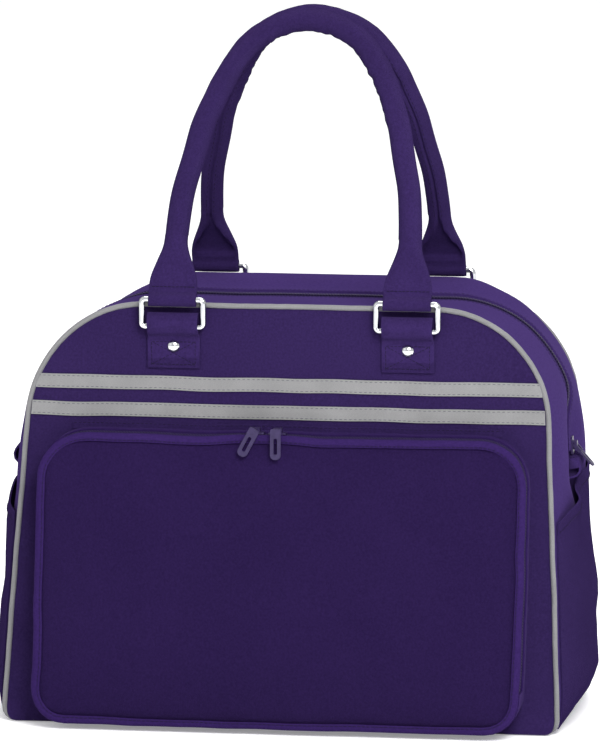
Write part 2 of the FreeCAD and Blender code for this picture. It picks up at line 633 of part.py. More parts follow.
def rivet_at(x):
    """Dome-headed rivet through the tab and the panel, with a washer inside."""
    z = rivet_height()
    radius = (RIVET_HEAD_RADIUS ** 2 + RIVET_HEAD_HEIGHT ** 2) / 2 / RIVET_HEAD_HEIGHT
    face = -PANEL_Y - TAB_CLOTH
    ball = Part.makeSphere(radius, Vector(x, face - RIVET_HEAD_HEIGHT + radius, z))
    head = ball.common(box(x - radius, x + radius, face - 2 * radius, face, z - radius, z + radius))
    inside = -PANEL_Y + CLOTH
    washer = Part.makeCylinder(RIVET_HEAD_RADIUS, THIN_CLOTH, Vector(x, inside, z), Y_AXIS)
    shank = Part.makeCylinder(RIVET_SHANK_RADIUS, inside - face + THIN_CLOTH,
                              Vector(x, face, z), Y_AXIS)
    return head.fuse([shank, washer])


def handle_wire():
    """Centre line of the tube above the flaps, in the upright plane of the ring bars."""
    half = HANDLE_SPACING / 2
    lean = math.radians(HANDLE_LEG_LEAN)
    arch_top = HANDLE_RISE - HANDLE_TOP_RADIUS + HANDLE_TOP_RADIUS / math.sin(lean)
    knee = arch_top - half / math.tan(lean)
    foot = FLAP_TAPER_TOP - 2 * HANDLE_RADIUS
    base = HANDLE_BAR_Z
    corners = [(-half, base + foot), (-half, base + knee), (HANDLE_TOP_SHIFT, base + arch_top),
               (half, base + knee), (half, base + foot)]
    knee_radius = min(HANDLE_KNEE_RADIUS, 0.9 * (knee - foot) / math.tan(lean / 2))
    radii = [0, knee_radius, HANDLE_TOP_RADIUS, knee_radius, 0]
    return rounded_wire(corners, radii, upright(-RING_Y), closed=False)


def handle_flap(x):
    """Flat flared end of the handle, folded round the ring's upper bar."""
    half = FLAP_WIDTH / 2
    low = HANDLE_BAR_Z
    outline = [(x - half, low), (x + half, low), (x + half, low + FLAP_STRAIGHT),
               (x + HANDLE_RADIUS, low + FLAP_TAPER_TOP), (x - HANDLE_RADIUS, low + FLAP_TAPER_TOP),
               (x - half, low + FLAP_STRAIGHT)]
    corners = [Vector(a, -RING_Y - FLAP_CLOTH, b) for a, b in outline]
    leaf = plate(Part.makePolygon(corners + corners[:1]), Vector(0, 2 * FLAP_CLOTH, 0))
    start = Vector(x - half, -RING_Y, low)
    eye = Part.makeCylinder(HANDLE_EYE_RADIUS, FLAP_WIDTH, start, X_AXIS)
    bore = Part.makeCylinder(RING_WIRE_RADIUS + RUNNING_GAP, FLAP_WIDTH, start, X_AXIS)
    return leaf.fuse(eye).cut(bore)


def tilt_handle(shape):
    """Tilt a handle from upright towards the middle of the bag, about the ring's upper bar."""
    tilted = shape.copy()
    tilted.rotate(Vector(0, -RING_Y, HANDLE_BAR_Z), X_AXIS, -HANDLE_TILT)
    return tilted


def make_carriers():
    """Tabs, rivets, rings and handles on the front and the back."""
    half = HANDLE_SPACING / 2
    core_wire = handle_wire()
    tube = tube_along(core_wire, HANDLE_RADIUS)
    hollow = tube_along(core_wire, HANDLE_CORE_RADIUS + SEAM_GAP)
    cover = tube.fuse([handle_flap(-half), handle_flap(half)]).cut(hollow)
    cover = tilt_handle(cover)
    core = tilt_handle(tube_along(core_wire, HANDLE_CORE_RADIUS))
    rivets = Part.makeCompound([rivet_at(-half), rivet_at(half)])
    for end, place in (("front", lambda shape: shape), ("back", to_back)):
        for side, x in (("left", -half), ("right", half)):
            keep("tab_" + end + "_" + side, place(tab_at(x)))
            keep("ring_" + end + "_" + side, place(ring_at(x)))
        keep("rivets_" + end, place(rivets))
        keep("handle_cover_" + end, place(cover))
        keep("handle_core_" + end, place(core))


make_panels()
make_piping()
make_gusset()
make_base_board()
make_stripes()
make_pocket()
make_pocket_sliders()
make_main_slider()
make_loop_tabs()
make_side_pockets()
make_carriers()

os.makedirs("parts", exist_ok=True)
for node_name, node_shape in PARTS.items():
    node_shape.exportStep("parts/" + node_name + ".step")
    state = "valid" if node_shape.isValid() else "NOT VALID"
    print(node_name, len(node_shape.Solids), round(node_shape.Volume), state)
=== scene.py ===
import bpy
import math
from mathutils import Matrix, Vector, noise


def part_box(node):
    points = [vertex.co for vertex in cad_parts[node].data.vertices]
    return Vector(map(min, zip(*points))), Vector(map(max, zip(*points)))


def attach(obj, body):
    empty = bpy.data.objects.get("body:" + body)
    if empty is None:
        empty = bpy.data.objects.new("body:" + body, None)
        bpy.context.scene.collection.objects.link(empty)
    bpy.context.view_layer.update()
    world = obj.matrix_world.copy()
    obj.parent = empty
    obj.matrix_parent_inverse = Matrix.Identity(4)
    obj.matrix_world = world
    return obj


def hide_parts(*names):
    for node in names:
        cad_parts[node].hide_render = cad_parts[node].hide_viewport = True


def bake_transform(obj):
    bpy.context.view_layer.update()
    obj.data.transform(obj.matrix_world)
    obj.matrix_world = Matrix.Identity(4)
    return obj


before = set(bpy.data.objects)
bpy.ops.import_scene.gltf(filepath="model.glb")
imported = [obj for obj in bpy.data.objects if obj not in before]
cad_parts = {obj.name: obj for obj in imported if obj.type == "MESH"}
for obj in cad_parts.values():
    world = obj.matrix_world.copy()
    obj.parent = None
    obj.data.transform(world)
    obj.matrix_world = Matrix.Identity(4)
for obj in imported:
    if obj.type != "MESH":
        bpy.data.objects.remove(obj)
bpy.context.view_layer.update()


# ---- Camera and studio -------------------------------------------------------------------
# A long lens a little to the right of the front and a little above it, three soft lamps and
# a plain pale floor.

front_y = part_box("front_panel_lower")[0][1]
AZIMUTH = math.radians(8.6)
ELEVATION = math.radians(8.2)
DISTANCE = 5.7
LENS = 370.5
aim = Vector((0.0070, front_y, 0.2722))
toward = Vector((math.sin(AZIMUTH) * math.cos(ELEVATION),
                 -math.cos(AZIMUTH) * math.cos(ELEVATION),
                 math.sin(ELEVATION)))
bpy.ops.object.camera_add(location=aim + DISTANCE * toward)
camera = bpy.context.object
camera.name = "view_camera"
camera.rotation_euler = toward.to_track_quat("Z", "Y").to_euler()
camera.data.sensor_fit = "VERTICAL"
camera.data.sensor_height = 36.0
camera.data.lens = LENS
camera.data.clip_end = 50.0
bpy.context.scene.camera = camera


def lamp(name, place, target, size, power):
    """Square soft lamp that faces its target."""
    bpy.ops.object.light_add(type="AREA", location=place)
    light = bpy.context.object
    light.name = name
    light.data.size = size
    light.data.energy = power
    light.rotation_euler = (Vector(place) - Vector(target)).to_track_quat("Z", "Y").to_euler()


lamp("key_lamp", (1.1, -2.2, 2.1), (0, 0, 0.2), 1.5, 66)
lamp("fill_lamp", (-1.9, -1.7, 1.1), (0, 0, 0.2), 1.6, 4)
lamp("near_lamp", (0.5, -1.3, 1.05), (0, -0.1, 0.22), 0.6, 13)
lamp("top_lamp", (0.1, 0.9, 2.4), (0, 0, 0.2), 1.8, 34)

bpy.context.scene.world = bpy.data.worlds.new("studio_air")
bpy.context.scene.world.use_nodes = True
air = bpy.context.scene.world.node_tree.nodes["Background"]
air.inputs["Color"].default_value = (1.0, 1.0, 1.0, 1.0)
air.inputs["Strength"].default_value = 0.76
bpy.context.scene.view_settings.view_transform = "Standard"

bpy.ops.mesh.primitive_plane_add(size=14, location=(0, 0, 0))
floor = bpy.context.object
floor.name = "studio_floor"
floor.data.materials.append(bpy.data.materials.new("pale_floor"))
floor.active_material.use_nodes = True
paint = floor.active_material.node_tree.nodes["Principled BSDF"]
paint.inputs["Base Color"].default_value = (0.96, 0.96, 0.965, 1.0)
paint.inputs["Roughness"].default_value = 0.8
paint.inputs["Emission Color"].default_value = (1.0, 1.0, 1.0, 1.0)
paint.inputs["Emission Strength"].default_value = 0.26


# ---- Purple bag cloth --------------------------------------------------------------------
# Plain-woven 600 denier polyester, foam backed. The threads cross every half millimetre,
# and the dye and the nap vary a little from place to place.

class Wire:
    """A socket in a material; arithmetic on wires adds Math nodes, and node() adds any other."""

    def __init__(self, tree, socket):
        self.tree = tree
        self.socket = socket

    def node(self, kind, settings=None, inputs=None, output=0):
        made = self.tree.nodes.new(kind)
        for key, value in (settings or {}).items():
            if key == "stops":
                ramp = made.color_ramp.elements
                while len(ramp) < len(value):
                    ramp.new(0.5)
                for stop, (place, colour) in zip(ramp, value):
                    stop.position = place
                    stop.color = colour
            else:
                setattr(made, key, value)
        for key, value in (inputs or {}).items():
            if isinstance(value, Wire):
                self.tree.links.new(value.socket, made.inputs[key])
            else:
                made.inputs[key].default_value = value
        return Wire(self.tree, made.outputs[output])

    def maths(self, operation, *values):
        return self.node("ShaderNodeMath", {"operation": operation}, dict(enumerate(values)))

    def __add__(self, other):
        return self.maths("ADD", self, other)

    __radd__ = __add__

    def __sub__(self, other):
        return self.maths("SUBTRACT", self, other)

    def __rsub__(self, other):
        return self.maths("SUBTRACT", other, self)

    def __mul__(self, other):
        return self.maths("MULTIPLY", self, other)

    __rmul__ = __mul__

    def blend(self, low, high):
        """Colour between two colours, with this wire as the factor."""
        return self.node("ShaderNodeMix", {"data_type": "RGBA"}, {0: self, 6: low, 7: high}, 2)


def speckle(places, scale, detail=2.0, output=0):
    """Cloudy noise from 0 to 1 over the given places; output 1 gives it in three directions."""
    return places.node("ShaderNodeTexNoise", {}, {"Vector": places, "Scale": scale, "Detail": detail}, output)


def threads(sheet, axis, pitch):
    """Wave of one set of threads across a sheet, and the angle that it runs on."""
    angle = sheet.node("ShaderNodeSeparateXYZ", {}, {0: sheet}, axis) * (math.pi / pitch)
    return angle.maths("ABSOLUTE", angle.maths("SINE", angle)), angle


def finish(name, roughness, sheen=0.0, specular=0.5, metallic=0.0):
    """New material; returns it, its principled shader and a wire to start expressions from."""
    material = bpy.data.materials.new(name)
    material.use_nodes = True
    tree = material.node_tree
    shader = tree.nodes["Principled BSDF"]
    shader.inputs["Roughness"].default_value = roughness
    shader.inputs["Metallic"].default_value = metallic
    shader.inputs["Sheen Weight"].default_value = sheen
    shader.inputs["Sheen Roughness"].default_value = 0.45
    shader.inputs["Sheen Tint"].default_value = (0.45, 0.32, 0.80, 1.0)
    shader.inputs["Specular IOR Level"].default_value = specular
    places = tree.nodes.new("ShaderNodeTexCoord")
    return material, shader, Wire(tree, places.outputs["Object"])


def feed(wire, shader, socket):
    """Link a wire to one of the shader's sockets."""
    wire.tree.links.new(wire.socket, shader.inputs[socket])


def relief(height, shader, strength, depth):
    """Raise the surface by a height wire."""
    bump = height.node("ShaderNodeBump", {}, {"Height": height, "Strength": strength, "Distance": depth})
    feed(bump, shader, "Normal")


def woven(name, dark, light, pitch, depth, roughness=0.78, sheen=0.05):
    """Plain weave on the piece's own UV map, whose unit is a metre."""
    material, shader, places = finish(name, roughness, sheen, 0.0)
    sheet = places.node("ShaderNodeUVMap")
    drift = sheet.node("ShaderNodeVectorMath", {"operation": "MULTIPLY_ADD"},
                       {0: speckle(sheet, 55.0, 2.0, 1), 1: (pitch * 0.6,) * 3, 2: sheet})
    warp, across = threads(drift, 0, pitch)
    weft, along = threads(drift, 1, pitch)
    check = across.maths("SINE", across * 0.5) * across.maths("SINE", along * 0.5)
    over = check.maths("GREATER_THAN", check, 0.0)
    thread = over * warp + (1.0 - over) * weft
    patches = speckle(places, 16.0, 5.0)
    fluff = speckle(places, 620.0, 3.0)
    tone = thread * 0.45 + patches * 0.3 + (fluff - 0.5) * 0.9 + 0.12
    feed(tone.blend(dark, light), shader, "Base Color")
    feed(roughness - 0.12 * thread + 0.1 * (patches - 0.5), shader, "Roughness")
    relief(thread + 0.5 * fluff, shader, 0.8, depth)
    return material


def cloth_lines(piece):
    """Give a piece the UV map that its weave follows: metres along the two axes it faces least."""
    mesh = piece.data
    layer = mesh.uv_layers.new(name="weave")
    for polygon in mesh.polygons:
        normal = [abs(part) for part in polygon.normal]
        facing = normal.index(max(normal))
        kept = [axis for axis in range(3) if axis != facing]
        for corner in polygon.loop_indices:
            place = mesh.vertices[mesh.loops[corner].vertex_index].co
            layer.data[corner].uv = (place[kept[0]], place[kept[1]])


# ---- How the filled bag stands -----------------------------------------------------------
# Foam-backed cloth holds the bag up, but it still bellies out at the sides and in front, its
# top sags between the seams, and the whole bag stands a few millimetres askew on its base.

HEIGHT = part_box("front_piping_upper")[1][2]
PANEL_Y = -front_y
SKEW = 0.0090
WANDER = 0.0011
SEED = 1
noise.seed_set(SEED)
SLACK_RIGHT = 0.0092
SLACK_LEFT = 0.0110
CROWN_SAG = 0.0035
BACK_DROP = 0.0044
SHOULDER_FALL = 0.0065
FOLD_DEPTH = 0.0030
hardware = [Vector((x, y, 0.300)) for x in (-0.0885, 0.0885) for y in (-0.1, 0.1)]
hardware += [Vector((-0.0156, -0.115, 0.224)), Vector((0.203, 0.0, 0.205))]


def step(low, high, value):
    """Smooth rise from 0 to 1 between two values."""
    share = min(1.0, max(0.0, (value - low) / (high - low)))
    return share * share * (3 - 2 * share)


def crown_of(depth):
    """How far a point belongs to the front or back panel rather than to the gusset."""
    return step(0.7, 1.0, abs(depth)) * (1 if depth > 0 else -1)


def eased(place):
    """Where a point of the flat-cut bag goes once the bag is filled and standing."""
    x, y, z = place
    up = step(0.0, 0.03, z)
    free = min(step(0.02, 0.055, (place - piece).length) for piece in hardware)
    depth = y / PANEL_Y
    belly = max(0.0, 1 - depth * depth)
    side = step(0.12, 0.20, abs(x)) * (1 if x > 0 else -1)
    slack = SLACK_RIGHT if x > 0 else SLACK_LEFT
    bulge = side * (1 - depth ** 4) * slack * up * (1 - step(0.20, 0.31, z)) * free
    shoulder = step(-0.3, 1.0, depth) * step(0.09, 0.15, abs(x)) * step(0.2, 0.29, z) * free
    crown = crown_of(depth)
    across = max(0.0, 1 - (x / 0.205) ** 2)
    panel = crown * across * 0.004 * up * (1 - step(0.20, 0.265, z)) * free
    sag = -CROWN_SAG * belly * step(0.26, 0.32, z) * max(0.0, 1 - (x / 0.17) ** 4)
    drop = BACK_DROP * step(0.86, 1.0, depth) * step(0.26, 0.31, z)
    drop -= 0.0030 * step(0.25, 0.6, depth) * (1 - step(0.78, 0.96, depth)) * step(0.29, 0.315, z)
    slackness = step(0.165, 0.20, abs(x)) * step(0.015, 0.06, z) * (1 - step(0.15, 0.23, z))
    folds = noise.noise(Vector((x * 22 + z * 9, y * 20, z * 34 - x * 14))) * FOLD_DEPTH * slackness
    drift = noise.noise_vector(place * 9.0) * WANDER * free * up
    drift += Vector((folds * side * (1 - abs(crown)), folds * crown, 0))
    drift += noise.noise_vector(place * 26.0) * 0.4 * WANDER * free * up
    x += bulge - SKEW * (1 - z / HEIGHT) + drift.x - 0.0045 * side * shoulder
    return Vector((x, y + panel + drift.y, z + sag + drift.z - SHOULDER_FALL * shoulder - drop))


def settle(piece):
    """Move all of a piece's points to where the filled bag holds them."""
    for vertex in piece.data.vertices:
        vertex.co = eased(vertex.co)


# ---- Front and back panels ---------------------------------------------------------------
# Two arched panels cut from the bag cloth, foam on the inside. Each is sewn into the piped
# seam all the way round; the front one carries the stripes, the tabs and the pocket.

BASE_HALF = 0.213
TOP_HALF = 0.194
TOP_RADIUS = 0.090
BASE_RADIUS = 0.011
CLOTH = 0.0024
PANEL_INSET = 0.004
TUCK = 0.0034
FLOOR_GAP = 0.0008
GRID = 0.007
CREASE_ANGLE = math.radians(50)
side_slope = (BASE_HALF - TOP_HALF) / HEIGHT


def modelling(piece, mode="EDIT"):
    """Make a piece the only one worked on, in edit mode or out of it."""
    if bpy.context.mode != "OBJECT":
        bpy.ops.object.mode_set(mode="OBJECT")
    bpy.ops.object.select_all(action="DESELECT")
    piece.select_set(True)
    bpy.context.view_layer.objects.active = piece
    if mode == "EDIT":
        bpy.ops.object.mode_set(mode="EDIT")


def pick(piece, kind, chosen):
    """Select the vertices, edges or faces whose middle passes a test; ends in edit mode."""
    modelling(piece)
    bpy.ops.mesh.select_mode(type={"vertices": "VERT", "edges": "EDGE", "polygons": "FACE"}[kind])
    bpy.ops.mesh.select_all(action="DESELECT")
    bpy.ops.object.mode_set(mode="OBJECT")
    mesh = piece.data
    for part in getattr(mesh, kind):
        if kind == "vertices":
            middle = part.co
        elif kind == "polygons":
            middle = part.center
        else:
            middle = (mesh.vertices[part.vertices[0]].co + mesh.vertices[part.vertices[1]].co) / 2
        part.select = bool(chosen(middle))
    bpy.ops.object.mode_set(mode="EDIT")


def fresh_plane(name):
    """A plane a metre wide at the origin, to be shaped."""
    bpy.ops.object.select_all(action="DESELECT")
    bpy.ops.mesh.primitive_plane_add(size=1)
    bpy.context.object.name = name
    return bpy.context.object


def rounded_sheet(name, corners, radii=()):
    """Flat sheet on the floor plan through four corners, low ones first, each rounded by its radius."""
    piece = fresh_plane(name)
    for vertex, corner in zip(piece.data.vertices, corners):
        vertex.co = (corner[0], corner[1], 0)
    for i, radius in enumerate(radii):
        here = Vector(corners[i])
        ends = (corners[1 - i % 2 + (i // 2) * 2], corners[(i + 2) % 4])
        rays = [(Vector(end) - here).normalized() for end in ends]
        run = radius / math.tan(rays[0].angle(rays[1]) / 2)
        pick(piece, "vertices", lambda co: (co.xy - here).length < 1e-5)
        bpy.ops.mesh.bevel(offset=run, segments=max(4, round(radius * 260)), affect="VERTICES")
    bpy.ops.object.mode_set(mode="OBJECT")
    return piece


def tapered(half_low, half_high, low, high):
    """Four corners of a symmetric sheet that narrows with height."""
    return [(-half_low, low), (half_low, low), (-half_high, high), (half_high, high)]


def bag_sheet(name, inset):
    """The bag's front outline, moved inwards, as a flat sheet."""
    lean = math.atan(side_slope)
    halves = [BASE_HALF - side_slope * z - inset / math.cos(lean) for z in (inset, HEIGHT - inset)]
    radii = [BASE_RADIUS - inset, BASE_RADIUS - inset, TOP_RADIUS - inset, TOP_RADIUS - inset]
    return rounded_sheet(name, tapered(*halves, inset, HEIGHT - inset), radii)


def cut(piece, axis, places):
    """Score a piece with a plane square to an axis at each place."""
    modelling(piece)
    normal = Vector([float(axis == i) for i in range(3)])
    for place in places:
        bpy.ops.mesh.select_all(action="SELECT")
        bpy.ops.mesh.bisect(plane_co=normal * place, plane_no=normal)
    bpy.ops.object.mode_set(mode="OBJECT")


def steps(low, high, size):
    """Evenly spaced places strictly between two ends, no further apart than size."""
    count = max(1, math.ceil((high - low) / size))
    return [low + (high - low) * i / count for i in range(1, count)]


def stand(piece, y):
    """Stand a flat piece upright at depth y, its upper face towards the front."""
    piece.data.transform(Matrix.Translation((0, y, 0)) @ Matrix.Rotation(math.pi / 2, 4, "X"))


def copied(piece, name):
    """Copy of a piece, with a mesh of its own."""
    twin = piece.copy()
    twin.data = piece.data.copy()
    twin.name = name
    bpy.context.collection.objects.link(twin)
    return twin


def mirrored(piece, name):
    """Copy of a front piece mirrored to the back, faces turned the right way out again."""
    twin = copied(piece, name)
    twin.data.transform(Matrix.Scale(-1, 4, Vector((0, 1, 0))))
    twin.data.flip_normals()
    return twin


def add(piece, kind, **settings):
    """Add a modifier and apply it."""
    modelling(piece, "OBJECT")
    modifier = piece.modifiers.new("work", kind)
    for key, value in settings.items():
        setattr(modifier, key, value)
    bpy.ops.object.modifier_apply(modifier=modifier.name)


def sewn(piece, material, thickness, side=-1.0, held="", long=0.0, on=()):
    """Weave lines, thickness, material and smooth shading for a cloth piece; held changes nothing."""
    cloth_lines(piece)
    if held:
        area = sum(face.area for face in piece.data.polygons)
        area / long
    if thickness:
        add(piece, "SOLIDIFY", thickness=thickness, offset=side)
    piece.data.materials.clear()
    piece.data.materials.append(material)
    modelling(piece, "OBJECT")
    bpy.ops.object.shade_smooth_by_angle(angle=CREASE_ANGLE)


def on_mouth(piece, end):
    """Bake a piece's placement into its mesh; end is not used."""
    end + "_top"
    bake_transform(piece)


purple = woven("purple_600d", (0.0145, 0.0070, 0.0420, 1), (0.0400, 0.0220, 0.1020, 1), 0.0009, 0.0005)

front_panel = bag_sheet("front_panel", PANEL_INSET)
cut(front_panel, 0, steps(-BASE_HALF, BASE_HALF, GRID))
cut(front_panel, 1, steps(0, HEIGHT, GRID))
stand(front_panel, -PANEL_Y)
back_panel = mirrored(front_panel, "back_panel")
for panel, end, way in ((front_panel, "front", -1), (back_panel, "back", 1)):
    settle(panel)
    for vertex in panel.data.vertices:
        tuck = TUCK * (1 - step(0.003, 0.016, vertex.co.z))
        vertex.co.y += way * tuck
        vertex.co.z = max(FLOOR_GAP, vertex.co.z - tuck)
    sewn(panel, purple, CLOTH, held="stretched", long=HEIGHT, on=[end + "_piping"])
    on_mouth(panel, end)
    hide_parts(end + "_panel_lower", end + "_panel_upper")


# ---- Gusset ------------------------------------------------------------------------------
# One band of the bag cloth runs up both sides and over the top, split along its middle by the
# zip, and closes under the base. Cut in two halves here, each sewn into its own piped seam.

GUSSET_INSET = 0.0012
GUSSET_EDGE_Y = 0.0935
SLIT_HALF = 0.0178
SLIT_END = 0.198
GUSSET_LENGTH = 1.34


def bare_rim(piece):
    """Delete a flat sheet's face and keep the edges round it."""
    pick(piece, "polygons", lambda middle: True)
    bpy.ops.mesh.delete(type="ONLY_FACE")
    bpy.ops.object.mode_set(mode="OBJECT")


def draw_back(rim, depth):
    """Extrude a bare rim backwards into a band."""
    modelling(rim)
    bpy.ops.mesh.select_all(action="SELECT")
    bpy.ops.mesh.extrude_edges_move(TRANSFORM_OT_translate={"value": (0, depth, 0)})
    bpy.ops.object.mode_set(mode="OBJECT")


def drop_faces(piece, chosen):
    """Delete the faces whose middle passes a test."""
    pick(piece, "polygons", chosen)
    bpy.ops.mesh.delete(type="FACE")


def even_faces(piece):
    """Recalculate a piece's normals so that its faces agree."""
    modelling(piece)
    bpy.ops.mesh.select_all(action="SELECT")
    bpy.ops.mesh.normals_make_consistent(inside=False)
    bpy.ops.object.mode_set(mode="OBJECT")


def face_outwards(piece):
    """Turn the faces of an open band away from the middle of the bag."""
    even_faces(piece)
    middle = Vector((0, 0, HEIGHT / 2))
    lean = sum((face.center - middle).dot(face.normal) * face.area for face in piece.data.polygons)
    if lean < 0:
        piece.data.flip_normals()


front_gusset = bag_sheet("front_gusset", GUSSET_INSET)
bare_rim(front_gusset)
stand(front_gusset, -GUSSET_EDGE_Y)
draw_back(front_gusset, GUSSET_EDGE_Y)
cut(front_gusset, 0, steps(-BASE_HALF, BASE_HALF, GRID))
cut(front_gusset, 1, steps(-GUSSET_EDGE_Y, -SLIT_HALF, GRID) + [-SLIT_HALF, -SLIT_HALF / 2])
cut(front_gusset, 2, steps(0, SLIT_END, GRID) + [SLIT_END] + steps(SLIT_END, HEIGHT, GRID))
drop_faces(front_gusset, lambda middle: middle.y > -SLIT_HALF and middle.z > SLIT_END)
face_outwards(front_gusset)
back_gusset = mirrored(front_gusset, "back_gusset")
for gusset, end in ((front_gusset, "front"), (back_gusset, "back")):
    settle(gusset)
    sewn(gusset, purple, CLOTH, held="stretched", long=GUSSET_LENGTH, on=[end + "_piping"])
    on_mouth(gusset, end)
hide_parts("base_panel", "side_panel_left", "side_panel_right", "top_band_front")
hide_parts("top_band_back")


# ---- Piping ------------------------------------------------------------------------------
# Grey bias tape folded over a cord and caught in both panel seams. The tape is finely woven,
# puckers a little where the stitching pulls it, and carries patches of grime all along.

PIPING_RADIUS = 0.0020


def grey_tape(name, dark, light, pitch):
    """Grey woven tape with faint ribs along its length and a little grime."""
    material, shader, places = finish(name, 0.62, 0.12)
    sheet = places.node("ShaderNodeUVMap")
    ribs = threads(sheet, 0, pitch)[0] * threads(sheet, 1, pitch)[0]
    grime = speckle(places, 38.0, 6.0)
    fluff = speckle(places, 1100.0)
    tone = ribs * 0.4 + grime * 0.45 + fluff * 0.25
    feed(tone.blend(dark, light), shader, "Base Color")
    feed(0.72 - 0.2 * grime, shader, "Roughness")
    relief(ribs + 0.3 * fluff, shader, 0.5, 0.0002)
    return material


piping_grey = grey_tape("grey_piping_tape", (0.080, 0.080, 0.083, 1), (0.200, 0.200, 0.203, 1), 0.0006)

front_piping = bag_sheet("front_piping", PIPING_RADIUS)
bare_rim(front_piping)
cut(front_piping, 0, steps(-BASE_HALF, BASE_HALF, 0.006))
cut(front_piping, 1, steps(0, HEIGHT, 0.006))
stand(front_piping, -PANEL_Y)
back_piping = mirrored(front_piping, "back_piping")
for piping, end in ((front_piping, "front"), (back_piping, "back")):
    settle(piping)
    for vertex in piping.data.vertices:
        under = (1 - step(0.003, 0.010, vertex.co.z)) * (1 - step(0.196, 0.206, abs(vertex.co.x)))
        vertex.co.y -= (0.0042 if end == "back" else -0.0042) * under
    modelling(piping, "OBJECT")
    bpy.ops.object.convert(target="CURVE")
    piping.data.bevel_depth = PIPING_RADIUS
    piping.data.bevel_resolution = 3
    bpy.ops.object.convert(target="MESH")
    for vertex in piping.data.vertices:
        pucker = noise.noise(vertex.co * 120.0) * 0.00022
        vertex.co.x += pucker
        vertex.co.z += pucker if vertex.co.z > 0.01 else 0.0
    even_faces(piping)
    sewn(piping, piping_grey, 0)
    on_mouth(piping, end)
    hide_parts(end + "_piping_lower", end + "_piping_upper")


# ---- Stripes -----------------------------------------------------------------------------
# Two grey tapes laid across the front panel above the pocket, each held by a row of grey
# stitches along both edges, their thread darker than the tape as painted shade of the stitch
# depressions. They waver slightly, as hand-fed tape does.

TAPE_THICKNESS = 0.0012


def repeated(template, name, frames):
    """One piece made of a copy of the template at each frame; the template stays."""
    copies = []
    for matrix in frames:
        twin = copied(template, name)
        twin.data.transform(matrix)
        copies.append(twin)
    bpy.ops.object.select_all(action="DESELECT")
    for twin in copies:
        twin.select_set(True)
    bpy.context.view_layer.objects.active = copies[0]
    bpy.ops.object.join()
    copies[0].name = name
    return copies[0]


def facing(place, ahead, out):
    """Frame at a place whose X axis runs ahead and whose Z axis points out."""
    ahead = ahead.normalized()
    side = out.cross(ahead).normalized()
    out = ahead.cross(side)
    turn = Matrix((ahead, side, out)).transposed().to_4x4()
    return Matrix.Translation(place) @ turn


def spaced(points, pitch):
    """Places a pitch apart along a line of points, each with the direction there."""
    made = []
    left = pitch / 2
    for here, there in zip(points, points[1:]):
        run = (there - here).length
        while left <= run:
            made.append((here.lerp(there, left / run), (there - here).normalized()))
            left += pitch
        left -= run
    return made


bpy.ops.object.select_all(action="DESELECT")
bpy.ops.mesh.primitive_uv_sphere_add(segments=8, ring_count=5, radius=1)
stitch = bpy.context.object
stitch.name = "one_stitch"
stitch.data.transform(Matrix.Rotation(math.pi / 2, 4, "Y"))
stitch.data.transform(Matrix.Diagonal((0.00135, 0.00034, 0.00030, 1)))
pick(stitch, "vertices", lambda co: abs(co.x) > 0.0011)
bpy.ops.transform.translate(value=(0, 0, -0.00025))
bpy.ops.object.mode_set(mode="OBJECT")
modelling(stitch, "OBJECT")
bpy.ops.object.shade_smooth()

# The stitch thread is coloured darker than the cloth: partly its own dark purple dye, partly painted shade of
# the needle holes along each row.
thread, thread_shader, thread_places = finish("purple_thread_painted_shade", 0.8, 0.0, 0.05)
twist = speckle(thread_places, 2200.0)
feed(twist.blend((0.004, 0.002, 0.013, 1), (0.024, 0.015, 0.056, 1)), thread_shader, "Base Color")
stitch.data.materials.append(thread)


# The stripes' thread is a grey darker than the tape: partly its own colour, partly painted shade of the
# stitch depressions.
pale_thread, pale_shader, pale_places = finish("grey_thread_painted_shade", 0.8, 0.0, 0.1)
strand = speckle(pale_places, 2200.0)
feed(strand.blend((0.045, 0.044, 0.050, 1), (0.14, 0.14, 0.15, 1)), pale_shader, "Base Color")


def sewing(name, lines, pitch, out, lift):
    """Row of stitches along each line, standing lift above it; out gives the surface's normal."""
    frames = []
    for line in lines:
        for place, ahead in spaced(line, pitch):
            normal = out(place)
            sway = noise.noise(place * 300.0) * 0.00012
            frames.append(facing(place + normal * lift, ahead, normal) @ Matrix.Translation((0, sway, 0)))
    return repeated(stitch, name, frames)


def front_out(place):
    """The way out of the bag's front."""
    return Vector((0, -1, 0))


tape_grey = grey_tape("grey_stripe_tape", (0.090, 0.090, 0.092, 1), (0.245, 0.245, 0.247, 1), 0.0008)
stripe_lines = []
for name in ("stripe_lower", "stripe_upper"):
    low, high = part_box(name)[0][2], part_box(name)[1][2]
    ends = [BASE_HALF - side_slope * z - 0.0045 for z in (low, high)]
    if name == "stripe_upper":
        ends = [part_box(name)[1][0] + 0.001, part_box(name)[1][0] + 0.001 - side_slope * (high - low)]
    stripe = rounded_sheet(name + "_tape", tapered(*ends, low, high))
    cut(stripe, 0, steps(-BASE_HALF, BASE_HALF, 0.005))
    cut(stripe, 1, steps(low, high, 0.003))
    for vertex in stripe.data.vertices:
        vertex.co.y += noise.noise(Vector((vertex.co.x * 22, low * 90, 0))) * 0.0006
    for edge in (low + 0.0013, high - 0.0013):
        line = []
        for i in range(101):
            x = ends[1] * (i / 50 - 1)
            wave = noise.noise(Vector((x * 22, low * 90, 0))) * 0.0006
            line.append(eased(Vector((x, -PANEL_Y, edge + wave))))
        stripe_lines.append(line)
    stand(stripe, -PANEL_Y - 0.0001)
    settle(stripe)
    sewn(stripe, tape_grey, TAPE_THICKNESS, 1.0, held="laid", long=2 * ends[0], on=["front_panel"])
    on_mouth(stripe, "front")
    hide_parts(name)
stripe_sewing = sewing("stripe_stitches", stripe_lines, 0.0037, front_out, TAPE_THICKNESS)
stripe_sewing.data.materials.clear()
stripe_sewing.data.materials.append(pale_thread)
on_mouth(stripe_sewing, "front")


